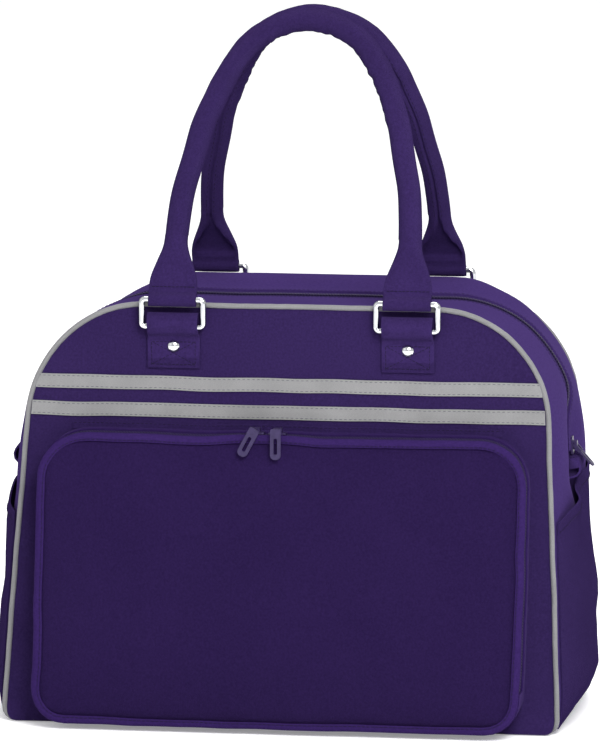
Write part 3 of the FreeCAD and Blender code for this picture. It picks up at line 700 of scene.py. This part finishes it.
# ---- Main zip ----------------------------------------------------------------------------
# Nylon zip let into the gusset's slit: two dark twill tapes whose moulded teeth mesh along the
# middle. The gusset's folded edges are topstitched down on both tapes.

TOOTH_PITCH = 0.0022
TOOTH_OFFSET = 0.0011
TAPE_LENGTH = 0.73
TAPE_CLOTH = 0.0008
TOPSTITCH = 0.0034


def outline(sheet):
    """Corners of a flat sheet in order; the sheet is used up."""
    ring = [sheet.data.vertices[i].co.xy for i in sheet.data.polygons[0].vertices]
    bpy.data.objects.remove(sheet)
    return ring


def refined(ring, size=0.004):
    """Closed line of points no further apart than size."""
    fine = []
    for here, there in zip(ring, ring[1:] + ring[:1]):
        count = max(1, math.ceil((there - here).length / size))
        fine += [here.lerp(there, i / count) for i in range(count)]
    return fine


def arch_line(inset, y):
    """Points up one side of the bag, over the top and down the other, above the slit's end."""
    ring = outline(bag_sheet("arch", inset))
    lowest = min(range(len(ring)), key=lambda i: ring[i].y + 0.001 * ring[i].x)
    fine = refined(ring[lowest:] + ring[:lowest])
    return [Vector((point.x, y, point.y)) for point in fine if point.y > SLIT_END]


def arch_out(place):
    """Roughly the way out of the bag's arch at a place."""
    lift = max(0.0, place.z - (HEIGHT - TOP_RADIUS))
    reach = max(0.0, abs(place.x) - (TOP_HALF - TOP_RADIUS)) * (1 if place.x > 0 else -1)
    if reach == 0.0:
        return Vector((0, 0, 1))
    return Vector((reach, 0, lift)).normalized()


twill = woven("zip_twill", (0.009, 0.005, 0.026, 1), (0.030, 0.018, 0.072, 1), 0.0009, 0.0002, 0.7, 0.03)
nylon, nylon_shader, nylon_places = finish("zip_nylon", 0.38, 0.0, 0.15)
cast = speckle(nylon_places, 420.0)
feed(cast.blend((0.008, 0.005, 0.022, 1), (0.022, 0.014, 0.052, 1)), nylon_shader, "Base Color")
feed(0.42 + 0.25 * cast, nylon_shader, "Roughness")

front_tape = bag_sheet("main_zip_front_tape", 0.0026)
bare_rim(front_tape)
stand(front_tape, -SLIT_HALF - 0.003)
draw_back(front_tape, SLIT_HALF + 0.0012)
cut(front_tape, 0, steps(-BASE_HALF, BASE_HALF, 0.006))
cut(front_tape, 1, steps(-SLIT_HALF, -0.002, 0.004))
cut(front_tape, 2, [SLIT_END - 0.001] + steps(SLIT_END, HEIGHT, 0.006))
drop_faces(front_tape, lambda middle: middle.z < SLIT_END - 0.001)
face_outwards(front_tape)
back_tape = mirrored(front_tape, "main_zip_back_tape")

bpy.ops.object.select_all(action="DESELECT")
bpy.ops.mesh.primitive_cube_add(size=1)
tooth = bpy.context.object
tooth.name = "one_tooth"
tooth.data.transform(Matrix.Diagonal((0.0012, 0.0030, 0.0016, 1)))
pick(tooth, "vertices", lambda co: co.y > 0)
bpy.ops.transform.resize(value=(1.35, 1, 0.8), center_override=(0, 0, 0))
bpy.ops.mesh.select_all(action="SELECT")
bpy.ops.mesh.bevel(offset=0.0003, segments=1)
bpy.ops.object.mode_set(mode="OBJECT")
tooth.data.materials.append(nylon)
middle_line = [eased(point) for point in arch_line(0.0022, 0.0)]
for side, end in ((-1, "front"), (1, "back")):
    frames = []
    for i, (place, ahead) in enumerate(spaced(middle_line, TOOTH_PITCH / 2)):
        if i % 2 == (side > 0):
            turn = Matrix.Scale(-1, 4, Vector((0, 1, 0))) if side > 0 else Matrix()
            out = arch_out(place)
            ahead = ahead if ahead.cross(out).y < 0 else -ahead
            seat = place + Vector((0, side * TOOTH_OFFSET, 0)) + out * 0.0003
            frames.append(facing(seat, ahead, out) @ turn)
    row = repeated(tooth, "main_zip_" + end + "_teeth", frames)
    even_faces(row)
    on_mouth(row, end)
    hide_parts("main_zip_teeth_" + end)
for tape, end, tail in ((front_tape, "front", "left"), (back_tape, "back", "right")):
    settle(tape)
    sewn(tape, twill, TAPE_CLOTH, held="stretched", long=TAPE_LENGTH, on=[end + "_gusset"])
    on_mouth(tape, end)
    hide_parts("main_zip_tape_" + end, "main_zip_tail_" + tail)
for side, end in ((-1, "front"), (1, "back")):
    lines = [[eased(point) for point in arch_line(GUSSET_INSET, side * (SLIT_HALF + 0.0022))]]
    row = sewing(end + "_zip_topstitching", lines, TOPSTITCH, arch_out, 0.0)
    on_mouth(row, end)
painted, painted_shader, painted_places = finish("painted_metal", 0.35, 0.0, 0.3)
chips = speckle(painted_places, 260.0, 5.0)
feed(chips.blend((0.010, 0.005, 0.030, 1), (0.030, 0.019, 0.072, 1)), painted_shader, "Base Color")
feed(0.22 + 0.3 * chips, painted_shader, "Roughness")


def coat(material, *names):
    """Give bare CAD pieces their finish."""
    for name in names:
        for slot in bpy.data.objects[name].material_slots:
            slot.material = material


coat(painted, "main_slider", "main_pull")


# ---- Side pockets ------------------------------------------------------------------------
# An open slip pocket on each side, of the bag cloth: caught in both seams and the base, its
# hemmed mouth slants down to the front in a curve and stands off the gusset.

POCKET_HALF = 0.0905
POCKET_BASE = 0.004
MOUTH_FRONT = 0.160
MOUTH_BACK = 0.183
HEM_STEP = 0.0008
HEM_SHARE = 0.957
shares = [i / 18 * 0.94 for i in range(18)] + [0.94, 0.95, 0.97, 0.985, 1.0]


def slip_pocket(side, stand_off, along, row):
    """A point of a side pocket, from its place along the mouth (-1 to 1) and its share of the height."""
    mouth = MOUTH_FRONT + (MOUTH_BACK - MOUTH_FRONT) * math.sin((along + 1) * math.pi / 4) ** 0.8
    z = POCKET_BASE + (mouth - POCKET_BASE) * row
    belly = max(0.0, 1 - along * along) ** 0.55
    out = 0.0018 + stand_off * belly * (1 - 0.18 * along) * row ** 1.6 + (HEM_STEP if row > 0.945 else 0.0)
    crease = noise.noise(Vector((POCKET_HALF * along * 30, z * 14, side))) * 0.0022 * belly
    x = BASE_HALF - side_slope * z - GUSSET_INSET + out + crease
    return Vector((x, POCKET_HALF * along, z)), belly


for side, name, stand_off, slump in ((1, "right", 0.0028, 0.0065), (-1, "left", 0.0038, 0.0020)):
    bpy.ops.object.select_all(action="DESELECT")
    bpy.ops.mesh.primitive_grid_add(x_subdivisions=26, y_subdivisions=len(shares) - 1, size=1)
    pocket = bpy.context.object
    pocket.name = "side_pocket_cloth_" + name
    for vertex in pocket.data.vertices:
        row = shares[round((vertex.co.y + 0.5) * (len(shares) - 1))]
        (x, y, z), belly = slip_pocket(side, stand_off, vertex.co.x * 2, row)
        x -= BASE_RADIUS - math.sqrt(BASE_RADIUS ** 2 - max(0.0, BASE_RADIUS - z) ** 2)
        x += slump * belly * step(0.004, 0.035, z) * (1 - step(0.05, 0.16, z))
        vertex.co = (side * x, y, z)
    face_outwards(pocket)
    hem_line = []
    for i in range(61):
        x, y, z = slip_pocket(side, stand_off, i / 30 - 1, HEM_SHARE)[0]
        hem_line.append(eased(Vector((side * x, y, z))))
    settle(pocket)
    sewn(pocket, purple, 0.0016, held="hung", long=0.19, on=["front_gusset", "back_gusset"])
    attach(pocket, "bag")
    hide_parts("side_pocket_" + name)
    hem = sewing("side_pocket_hem_" + name, [hem_line], TOPSTITCH, lambda place: Vector((side, 0, 0)), 0.0002)
    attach(hem, "bag")


# ---- Front pocket ------------------------------------------------------------------------
# A cargo pocket of the bag cloth: a gusset 25 mm deep stitched flat to the panel, a zip round
# its top and sides, and a padded face bound all round its rim. It belly-sags a little.

FLAT_Y = -PANEL_Y
SWELL = 0.0085
SLUMP = 0.0050
POCKET_LEAN = math.radians(2.5)
POCKET_LOW_RADIUS = 0.025
POCKET_HIGH_RADIUS = 0.036
RIM_GRID = 0.006
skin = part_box("pocket_gusset")
pocket_low, pocket_high = skin[0][2], skin[1][2]
pocket_half = skin[1][0]


def pocket_sheet(name, inset):
    """The pocket's outline moved inwards, as a flat sheet."""
    low, high, half = pocket_low + inset, pocket_high - inset, pocket_half - inset
    radii = [POCKET_LOW_RADIUS - inset] * 2 + [POCKET_HIGH_RADIUS - inset] * 2
    return rounded_sheet(name, tapered(half, half, low, high), radii)


def pocket_depth(z):
    """How far the pocket's rim stands from the panel: less at the top, where it leans back."""
    return -skin[0][1] - PANEL_Y - 0.0005 - (z - pocket_low) * math.tan(POCKET_LEAN)


def pocket_place(place):
    """Where a point of the flat-cut pocket (y counted as a share of its depth) ends up."""
    x, share, z = place
    ease = eased(Vector((x, FLAT_Y, z))) - Vector((x, FLAT_Y, z))
    wide = max(0.0, 1 - (x / pocket_half) ** 2)
    tall = (z - pocket_low) / (pocket_high - pocket_low)
    sag = -SLUMP * share * wide * math.sin(math.pi * min(1.0, max(0.0, tall))) ** 0.7 * (1 - tall)
    give = noise.noise(Vector((x * 16, z * 16, 3.0))) * 0.0014 * step(0.2, 1.0, share)
    near = step(0.015, 0.05, (Vector((x, 0, z)) - Vector((-0.0156, 0, 0.224))).length)
    quiver = noise.noise(Vector((x * 42, z * 42, 8.0))) * 0.0009 * near * step(0.1, 0.5, share)
    dip = -0.0016 * share * (1 - (abs(x) / pocket_half) ** 3) * step(0.9, 1.0, tall) * near
    y = FLAT_Y - share * pocket_depth(z)
    return Vector((x + ease.x + quiver, y + ease.y * 0.6 - give, z + ease.z + sag + dip + quiver * 0.6))


def lay_pocket(piece):
    """Carry a flat-cut pocket piece to its place; its y holds the share of the depth."""
    for vertex in piece.data.vertices:
        vertex.co = pocket_place(vertex.co)


def upright(piece):
    """Stand a flat piece up with its height above the plan kept as the share of the depth."""
    piece.data.transform(Matrix.Rotation(math.pi / 2, 4, "X"))
    piece.data.transform(Matrix.Diagonal((1, -1, 1, 1)))
    piece.data.flip_normals()


def pocket_band(name, inset, shares_cut):
    """Band round the pocket between the least and greatest share, scored at the shares."""
    band = pocket_sheet(name, inset)
    bare_rim(band)
    upright(band)
    for vertex in band.data.vertices:
        vertex.co.y = shares_cut[0]
    for share, last in zip(shares_cut[1:], shares_cut):
        modelling(band)
        bpy.ops.mesh.select_all(action="DESELECT")
        bpy.ops.object.mode_set(mode="OBJECT")
        for edge in band.data.edges:
            edge.select = all(abs(band.data.vertices[i].co.y - last) < 1e-6 for i in edge.vertices)
        bpy.ops.object.mode_set(mode="EDIT")
        bpy.ops.mesh.extrude_edges_move(TRANSFORM_OT_translate={"value": (0, share - last, 0)})
        bpy.ops.object.mode_set(mode="OBJECT")
    cut(band, 0, steps(-pocket_half, pocket_half, RIM_GRID))
    cut(band, 2, steps(pocket_low, pocket_high, RIM_GRID))
    return band


def pocket_out(place):
    """The way out of the pocket's rim at a place."""
    top = place.z > (pocket_low + pocket_high) / 2
    radius = POCKET_HIGH_RADIUS if top else POCKET_LOW_RADIUS
    x = max(0.0, abs(place.x) - (pocket_half - radius)) * (1 if place.x > 0 else -1)
    z = max(0.0, place.z - (pocket_high - radius)) if top else min(0.0, place.z - (pocket_low + radius))
    return Vector((x, 0, z)).normalized()


def pocket_line(inset, share, size=0.004):
    """Closed line round the pocket at a share of its depth, as flat-cut points."""
    points = refined(outline(pocket_sheet("line", inset)), size)
    return [Vector((point.x, share, point.y)) for point in points + points[:1]]


pocket_cloth = woven("pocket_600d", (0.0090, 0.0040, 0.0300, 1), (0.0280, 0.0135, 0.0760, 1), 0.0009, 0.0005)
pocket_side = pocket_band("pocket_gusset_cloth", 0.0, [-0.02, 0.0, 0.2, 0.38])
face_outwards(pocket_side)
lay_pocket(pocket_side)
sewn(pocket_side, pocket_cloth, 0.0012, held="stretched", long=1.13, on=["front_panel"])
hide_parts("pocket_gusset")
zip_outer = pocket_band("pocket_zip_outer_tape", 0.0010, [0.36, 0.50, 0.62])
zip_inner = pocket_band("pocket_zip_inner_tape", 0.0010, [0.64, 0.76, 0.90])
for tape, old in ((zip_outer, "pocket_zip_tape_outer"), (zip_inner, "pocket_zip_tape_inner")):
    drop_faces(tape, lambda middle: middle.z < 0.030)
    face_outwards(tape)
    lay_pocket(tape)
    sewn(tape, twill, TAPE_CLOTH)
    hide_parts(old)
low_rim = pocket_band("pocket_low_rim", 0.0, [0.36, 0.62, 0.94])
drop_faces(low_rim, lambda middle: middle.z > 0.033)
face_outwards(low_rim)
lay_pocket(low_rim)
sewn(low_rim, pocket_cloth, 0.0012, held="stretched", long=0.38, on=["pocket_gusset_cloth"])

# The zip's teeth, meshed all the way: both sliders are closed at the top.
coil_line = [pocket_place(point) for point in pocket_line(0.0006, 0.63, 0.003) if point.z > 0.032]
lowest = max(range(1, len(coil_line)), key=lambda i: (coil_line[i] - coil_line[i - 1]).length)
coil_line = coil_line[lowest:] + coil_line[1:lowest]
frames = []
for i, (place, ahead) in enumerate(spaced(coil_line, TOOTH_PITCH / 2)):
    turn = Matrix.Scale(-1, 4, Vector((0, 1, 0))) if i % 2 else Matrix()
    offset = Vector((0, 0.0007 if i % 2 else -0.0007, 0))
    frames.append(facing(place + offset, ahead, pocket_out(place)) @ turn)
coil = repeated(tooth, "pocket_zip_coil", frames)
even_faces(coil)
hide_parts("pocket_zip_teeth")

# Padded face: a rounded sheet that swells between its bound edges, with faint drag lines.
pocket_face = pocket_sheet("pocket_face", 0.0045)
cut(pocket_face, 0, steps(-pocket_half, pocket_half, RIM_GRID))
cut(pocket_face, 1, steps(pocket_low, pocket_high, RIM_GRID))
upright(pocket_face)
for vertex in pocket_face.data.vertices:
    x, z = vertex.co.x, vertex.co.z
    edge = min(pocket_half - abs(x), pocket_high - z, z - pocket_low) - 0.0045
    swell = SWELL * step(-0.006, 0.055, edge) + 0.0012 * step(0.0, 0.006, edge)
    drag = noise.noise(Vector((x * 11 + z * 7, z * 26 - x * 5, 1.0))) * 0.0011 * step(0.0, 0.04, edge)
    vertex.co.y = 1.0 + (swell + drag - 0.0012) / 0.025
lay_pocket(pocket_face)
face_outwards(pocket_face)
sewn(pocket_face, pocket_cloth, 0.0016)
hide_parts("pocket_panel")

# Self-cloth binding folded over the rim: front leg, rounded edge, side leg.
BIND = 0.0058
profile = [(0.90, 0.0), (1.02, -0.0006), (1.065, 0.0004), (1.085, 0.0026), (1.080, 0.0048), (1.050, BIND)]
binding = pocket_band("pocket_binding_cloth", 0.0, [share for share, _ in profile])
for vertex in binding.data.vertices:
    share = vertex.co.y
    level = min(range(len(profile)), key=lambda i: abs(profile[i][0] - share))
    vertex.co -= pocket_out(vertex.co) * profile[level][1]
lay_pocket(binding)
face_outwards(binding)
sewn(binding, pocket_cloth, 0.0009)
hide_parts("pocket_binding")


def forward(place):
    """The way out of the pocket's face."""
    return Vector((0, -math.cos(POCKET_LEAN), math.sin(POCKET_LEAN)))


bind_row = [pocket_place(point) for point in pocket_line(0.0044, 1.082)]
face_sewing = sewing("pocket_binding_stitches", [bind_row], TOPSTITCH, forward, 0.0002)

# Facing strip topstitched to the panel just above the pocket's zip.
facing_low, facing_high = 0.2250, 0.2308
facing_half = 0.1620
strip = rounded_sheet("pocket_facing_strip", tapered(facing_half, facing_half, facing_low, facing_high))
cut(strip, 0, steps(-facing_half, facing_half, RIM_GRID))
stand(strip, -PANEL_Y - 0.0001)
settle(strip)
sewn(strip, purple, TAPE_THICKNESS, 1.0)
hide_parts("pocket_zip_facing")
facing_row = [eased(Vector((facing_half * (i / 50 - 1), -PANEL_Y, 0.2296))) for i in range(101)]
facing_sewing = sewing("pocket_facing_stitches", [facing_row], TOPSTITCH, front_out, TAPE_THICKNESS)
for piece in (pocket_side, zip_outer, zip_inner, low_rim, coil, pocket_face, binding, face_sewing, strip,
              facing_sewing):
    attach(piece, "bag")
coat(painted, "pocket_slider_left", "pocket_slider_right", "pocket_pull_left", "pocket_pull_right")


# ---- Ring tabs ---------------------------------------------------------------------------
# Four folded straps of the bag cloth, each looped round a ring's lower bar and sewn flat to
# its panel below with a box and cross of stitches, over a rivet.

ring_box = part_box("ring_front_left")
RING_Y = (ring_box[0][1] + ring_box[1][1]) / 2
RING_X = (ring_box[0][0] + ring_box[1][0]) / 2
STRAP_HALF = 0.0198
strap_profile = [(0.0022, 0.2722), (0.0024, 0.2800), (0.0024, 0.2880), (0.0026, 0.2930), (0.0034, 0.2965),
                 (0.0068, 0.2985), (0.0098, 0.3015), (0.0112, 0.3055), (0.0110, 0.3095), (0.0094, 0.3128),
                 (0.0066, 0.3148), (0.0038, 0.3146), (0.0020, 0.3125), (0.0014, 0.3085), (0.0014, 0.3030)]


def strip_along(name, half, profile, across):
    """Strip across X, drawn out by extruding one edge along a profile of (y, z) points."""
    piece = fresh_plane(name)
    first, second = profile[0], profile[1]
    for vertex in piece.data.vertices:
        end = second if vertex.co.y > 0 else first
        vertex.co = (half if vertex.co.x > 0 else -half, end[0], end[1])
    for last, point in zip(profile[1:], profile[2:]):
        pick(piece, "edges", lambda middle: (middle.yz - Vector(last)).length < 1e-6 and abs(middle.x) < 1e-6)
        bpy.ops.mesh.extrude_edges_move(
            TRANSFORM_OT_translate={"value": (0, point[0] - last[0], point[1] - last[1])})
    bpy.ops.object.mode_set(mode="OBJECT")
    cut(piece, 0, steps(-half, half, across))
    return piece


strap = strip_along("one_strap", STRAP_HALF, [(-d - PANEL_Y, z) for d, z in strap_profile], 0.0033)
for vertex in strap.data.vertices:
    edge = step(0.012, STRAP_HALF, abs(vertex.co.x))
    loop = step(0.293, 0.300, vertex.co.z)
    vertex.co.y += 0.0010 * edge * loop + noise.noise(vertex.co * 90.0) * 0.0005
    vertex.co.x *= 1.0 - 0.03 * loop
even_faces(strap)
if min(strap.data.polygons, key=lambda face: face.center.z).normal.y > 0:
    strap.data.flip_normals()
sewn(strap, purple, 0.0017)
add(strap, "BEVEL", width=0.0004, segments=2, limit_method="ANGLE")
box = [Vector((x, -PANEL_Y - 0.0024, z)) for x, z in
       ((-0.0165, 0.2752), (0.0165, 0.2752), (0.0165, 0.2922), (-0.0165, 0.2922))]
box_lines = [[box[i], box[(i + 1) % 4]] for i in range(4)] + [[box[0], box[2]], [box[1], box[3]]]
strap_sewing = sewing("one_strap_stitches", box_lines, 0.0030, front_out, 0.0001)
for end in ("front", "back"):
    for side, name in ((-1, "left"), (1, "right")):
        shift = Matrix.Translation((side * abs(RING_X), 0, 0))
        for source, kind in ((strap, "tab_cloth_"), (strap_sewing, "tab_stitches_")):
            again = copied if end == "front" else mirrored
            twin = again(source, kind + end + "_" + name)
            twin.data.transform(shift)
            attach(twin, end + "_top")
            if source is strap:
                "ring_" + end + "_" + name
                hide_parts("tab_" + end + "_" + name)
for source in (strap, strap_sewing):
    bpy.data.objects.remove(source)


# ---- Rings and rivets --------------------------------------------------------------------
# Bright-chromed bent steel rings with rounded corners, and domed rivets through the tabs.
# The plating carries hairline polish marks and a little haze.

chrome, chrome_shader, chrome_places = finish("bright_chrome", 0.1, 0.0, 0.5, 1.0)
haze = speckle(chrome_places, 180.0, 6.0)
feed(haze.blend((0.40, 0.41, 0.44, 1), (0.84, 0.85, 0.88, 1)), chrome_shader, "Base Color")
chrome_shader.inputs["Specular Tint"].default_value = (0.12, 0.12, 0.14, 1.0)
feed(0.04 + 0.16 * haze, chrome_shader, "Roughness")
relief(speckle(chrome_places, 1500.0), chrome_shader, 0.12, 0.0001)
coat(chrome, "ring_front_left", "ring_front_right", "ring_back_left", "ring_back_right")
coat(chrome, "rivets_front", "rivets_back")


# ---- Handles -----------------------------------------------------------------------------
# Two handles of the bag cloth rolled round a rope core, its folded edges meeting in a seam on
# the side that faces the other handle. Each end flattens, flares and folds round its ring.

RING_WIRE = 0.0023
BAR_Z = ring_box[1][2] - RING_WIRE
ROLL = 0.00875
TILT = math.radians(23)
LEAN = math.radians(12)
SPREAD = abs(RING_X)
RISE = 0.221
TOP_BEND = 0.070
KNEE_BEND = 0.250
FOLD = 0.0053
CREST_SHIFT = 0.006
CREST_SQUEEZE = 0.10
FLARE_HALF = 0.0182
FLAP_HALF_THICK = 0.0026
GROOVE = 0.0026
arch_top = RISE - TOP_BEND + TOP_BEND / math.sin(LEAN)
knee = arch_top - SPREAD / math.tan(LEAN)
apex = Vector((CREST_SHIFT, arch_top))
legs = [(Vector((side * SPREAD, knee)) - apex).normalized() for side in (-1, 1)]
half_apex = legs[0].angle(legs[1]) / 2
hub = apex + (legs[0] + legs[1]).normalized() * TOP_BEND / math.sin(half_apex)
start_angle = math.pi - math.atan2(-legs[0].x, -legs[0].y)
end_angle = math.atan2(legs[1].x, -legs[1].y)
bit = (start_angle - end_angle) / 4
bends = [(-SPREAD, knee, KNEE_BEND, math.atan2(-legs[0].x, -legs[0].y))]
for i in range(4):
    angle = start_angle - bit * (i + 0.5)
    corner = hub + Vector((math.cos(angle), math.sin(angle))) * TOP_BEND / math.cos(bit / 2)
    bends.append((corner.x, corner.y, TOP_BEND, bit * 0.999))
bends.append((SPREAD, knee, KNEE_BEND, math.atan2(legs[1].x, -legs[1].y)))
roll = fresh_plane("one_handle")
pick(roll, "vertices", lambda co: co.x > 0 or co.y > 0)
bpy.ops.mesh.delete(type="VERT")
bpy.ops.object.mode_set(mode="OBJECT")
path = [Vector((-SPREAD, 0, -FOLD))]
path += [Vector((x, 0, z)) for x, z, _, _ in bends]
path.append(Vector((SPREAD, 0, -FOLD)))
roll.data.vertices[0].co = path[0]
pick(roll, "vertices", lambda co: True)
for here, there in zip(path, path[1:]):
    bpy.ops.mesh.extrude_vertices_move(TRANSFORM_OT_translate={"value": there - here})
for x, z, radius, turn in bends:
    pick(roll, "vertices", lambda co: (co - Vector((x, 0, z))).length < 1e-5)
    piece_of_arc = 0.0016 if radius == TOP_BEND else 0.004
    count = max(6, round(radius * turn / piece_of_arc))
    bpy.ops.mesh.bevel(offset=radius * math.tan(turn / 2), segments=count, affect="VERTICES")
bpy.ops.object.mode_set(mode="OBJECT")
fold_cuts = [-0.0048, -0.004, -0.0028, -0.0012, 0.0008, 0.0028, 0.0042, 0.005]
cut(roll, 2, fold_cuts + steps(0.005, 0.20, 0.0026))
for vertex in roll.data.vertices:
    vertex.co.x -= (vertex.co.x - CREST_SHIFT) * CREST_SQUEEZE * step(0.13, 0.19, vertex.co.z)
modelling(roll, "OBJECT")
bpy.ops.object.convert(target="CURVE")
roll.data.bevel_depth = ROLL
roll.data.bevel_resolution = 14
bpy.ops.object.convert(target="MESH")
seam = [vertex.co.copy() for vertex in roll.data.vertices
        if vertex.co.y > ROLL * 0.999 and vertex.co.z > 0.045]
SEAM_GAP = 0.0027
seam_rows = [[], []]
for here, there in zip(seam, seam[1:]):
    aside = (there - here).cross(Vector((0, 1, 0))).normalized() * SEAM_GAP
    for row, sign in zip(seam_rows, (-1, 1)):
        row.append(here + aside * sign - Vector((0, 0.0002, 0)))


def rolled(x, y, h):
    """The round part: small gathers at the crest, deepest inside the bend, and a sunk seam."""
    crest = step(0.12, 0.215, h)
    ripple = noise.noise(Vector((x * 190, h * 60, y * 30))) * 0.00055 * crest
    inner = step(0.0, 0.004, 0.081 - (Vector((0, 0, 0.13)) - Vector((x, y, h))).length)
    slow = noise.noise(Vector((x * 30, y * 30, h * 30))) * 0.0007
    reach = Vector((x, h)) - hub
    inside = step(-0.001, 0.006, TOP_BEND - reach.length) * step(0.12, 0.16, h)
    run = math.atan2(reach.y, reach.x) * TOP_BEND
    pleat = noise.noise(Vector((run * 150, y * 40, 5.0))) * 0.0013 * inside
    sink = -0.0014 if y > ROLL * 0.995 else 0.0004 if y > ROLL * 0.90 else 0.0
    away = Vector((x, 0, max(0.0, h - 0.13))).normalized()
    return Vector((x, y + sink, h)) + away * (ripple * (0.5 + inner) + slow + pleat)


def flared(x, y, h):
    """The end: it flattens and widens downwards, then folds round the ring's upper bar."""
    side = 1 if x > 0 else -1
    across, deep = (x - side * SPREAD) / ROLL, y / ROLL
    flat = 1 - step(0.016, 0.046, h)
    wide = ROLL + (FLARE_HALF - ROLL) * (1 - step(0.011, 0.047, h))
    thick = FLAP_HALF_THICK + (ROLL - FLAP_HALF_THICK) * step(0.014, 0.044, h)
    if h < 0.009:
        ring_round = math.sqrt(max(0.0, FOLD * FOLD - h * h))
        thick = max(thick if h > 0 else 0.0, ring_round)
    power = 1 - 0.62 * flat
    new_across = math.copysign(abs(across) ** power, across) * wide
    new_deep = math.copysign(abs(deep) ** power, deep) * thick
    groove = 0.0
    if deep > 0.3 and h > 0.012:
        opening = wide * 0.80 * (1 - step(0.014, 0.052, h))
        lip = step(opening, opening + 0.0024, abs(new_across))
        groove = GROOVE * (1 - lip) - 0.0010 * step(0.55, 0.85, deep) * lip
    crumple = noise.noise(Vector((x * 70, y * 40, h * 110))) * 0.0008 * step(0.006, 0.02, h)
    return Vector((side * SPREAD + new_across, new_deep - groove + crumple, h))


for vertex in roll.data.vertices:
    shaped = rolled if vertex.co.z > 0.05 else flared
    vertex.co = shaped(*vertex.co)
modelling(roll)
bpy.ops.mesh.select_all(action="SELECT")
bpy.ops.mesh.fill_holes(sides=0)
bpy.ops.mesh.normals_make_consistent(inside=False)
bpy.ops.object.mode_set(mode="OBJECT")
sewn(roll, purple, 0)
FLAP_ROW_HALF = 0.0160
FLAP_ROW_Z = 0.0092
flap_rows = [[Vector((side * SPREAD + FLAP_ROW_HALF * (i / 6 - 1), -FLAP_HALF_THICK, FLAP_ROW_Z))
              for i in range(13)] for side in (-1, 1)]
roll_sewing = sewing("one_handle_stitches", flap_rows, 0.0030, front_out, 0.0003)
seam_sewing = sewing("one_handle_seam_stitches", seam_rows, 0.0040, lambda place: Vector((0, 1, 0)), 0.0001)
raise_up = Matrix.Translation((0, RING_Y, BAR_Z)) @ Matrix.Rotation(-TILT, 4, "X")
for source, kind in ((roll, "handle_roll_"), (roll_sewing, "handle_stitches_"),
                     (seam_sewing, "handle_seam_stitches_")):
    source.data.transform(raise_up)
    twin = mirrored(source, kind + "back")
    source.name = kind + "front"
    for piece, end in ((source, "front"), (twin, "back")):
        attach(piece, "handle_" + end)
        if source is roll:
            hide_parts("handle_cover_" + end, "handle_core_" + end)


# ---- Loop tabs ---------------------------------------------------------------------------
# A short strap of the bag cloth folded into a loop at each end of the main zip, its two ends
# caught under the side pocket's mouth and tacked down.

LOOP_HALF = 0.0108
loop_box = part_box("loop_tab_right")
loop_top, loop_low = loop_box[1][2], loop_box[0][2]
root_x = BASE_HALF - side_slope * 0.19 - GUSSET_INSET
loop_profile = [(0.0004, loop_top + 0.0002), (0.0040, loop_top + 0.0010), (0.0078, loop_top + 0.0004),
                (0.0104, loop_top - 0.0020), (0.0116, loop_top - 0.0060), (0.0110, loop_top - 0.0102),
                (0.0086, loop_top - 0.0134), (0.0048, loop_low + 0.0006), (0.0004, loop_low + 0.0002)]
for side, name in ((1, "right"), (-1, "left")):
    loop = strip_along("loop_tab_cloth_" + name, LOOP_HALF, loop_profile, 0.0027)
    loop.data.transform(Matrix.Rotation(-math.pi / 2, 4, "Z"))
    if side < 0:
        loop.data.transform(Matrix.Scale(-1, 4, Vector((1, 0, 0))))
    loop.data.transform(Matrix.Translation((side * root_x, 0, 0)))
    for vertex in loop.data.vertices:
        vertex.co += noise.noise_vector(vertex.co * 110.0) * 0.0006
        vertex.co.z += 0.0012 * vertex.co.y / LOOP_HALF
    even_faces(loop)
    if side * max(loop.data.polygons, key=lambda face: side * face.center.x).normal.x < 0:
        loop.data.flip_normals()
    settle(loop)
    sewn(loop, purple, 0.0014, held="folded", long=2 * LOOP_HALF, on=["front_gusset"])
    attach(loop, "bag")
    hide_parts("loop_tab_" + name)


# ---- Base board --------------------------------------------------------------------------
# A loose sheet of grey fibreboard lies on the base inside. Its surface is pressed fibre.

board, board_shader, board_places = finish("fibre_board", 0.85, 0.0, 0.2)
fibre = speckle(board_places, 700.0, 6.0)
feed(fibre.blend((0.10, 0.095, 0.088, 1), (0.26, 0.25, 0.235, 1)), board_shader, "Base Color")
relief(fibre, board_shader, 0.4, 0.0003)
coat(board, "base_board")

# The stitch and the tooth that were copied are not part of the bag.
bpy.data.objects.remove(stitch)
bpy.data.objects.remove(tooth)
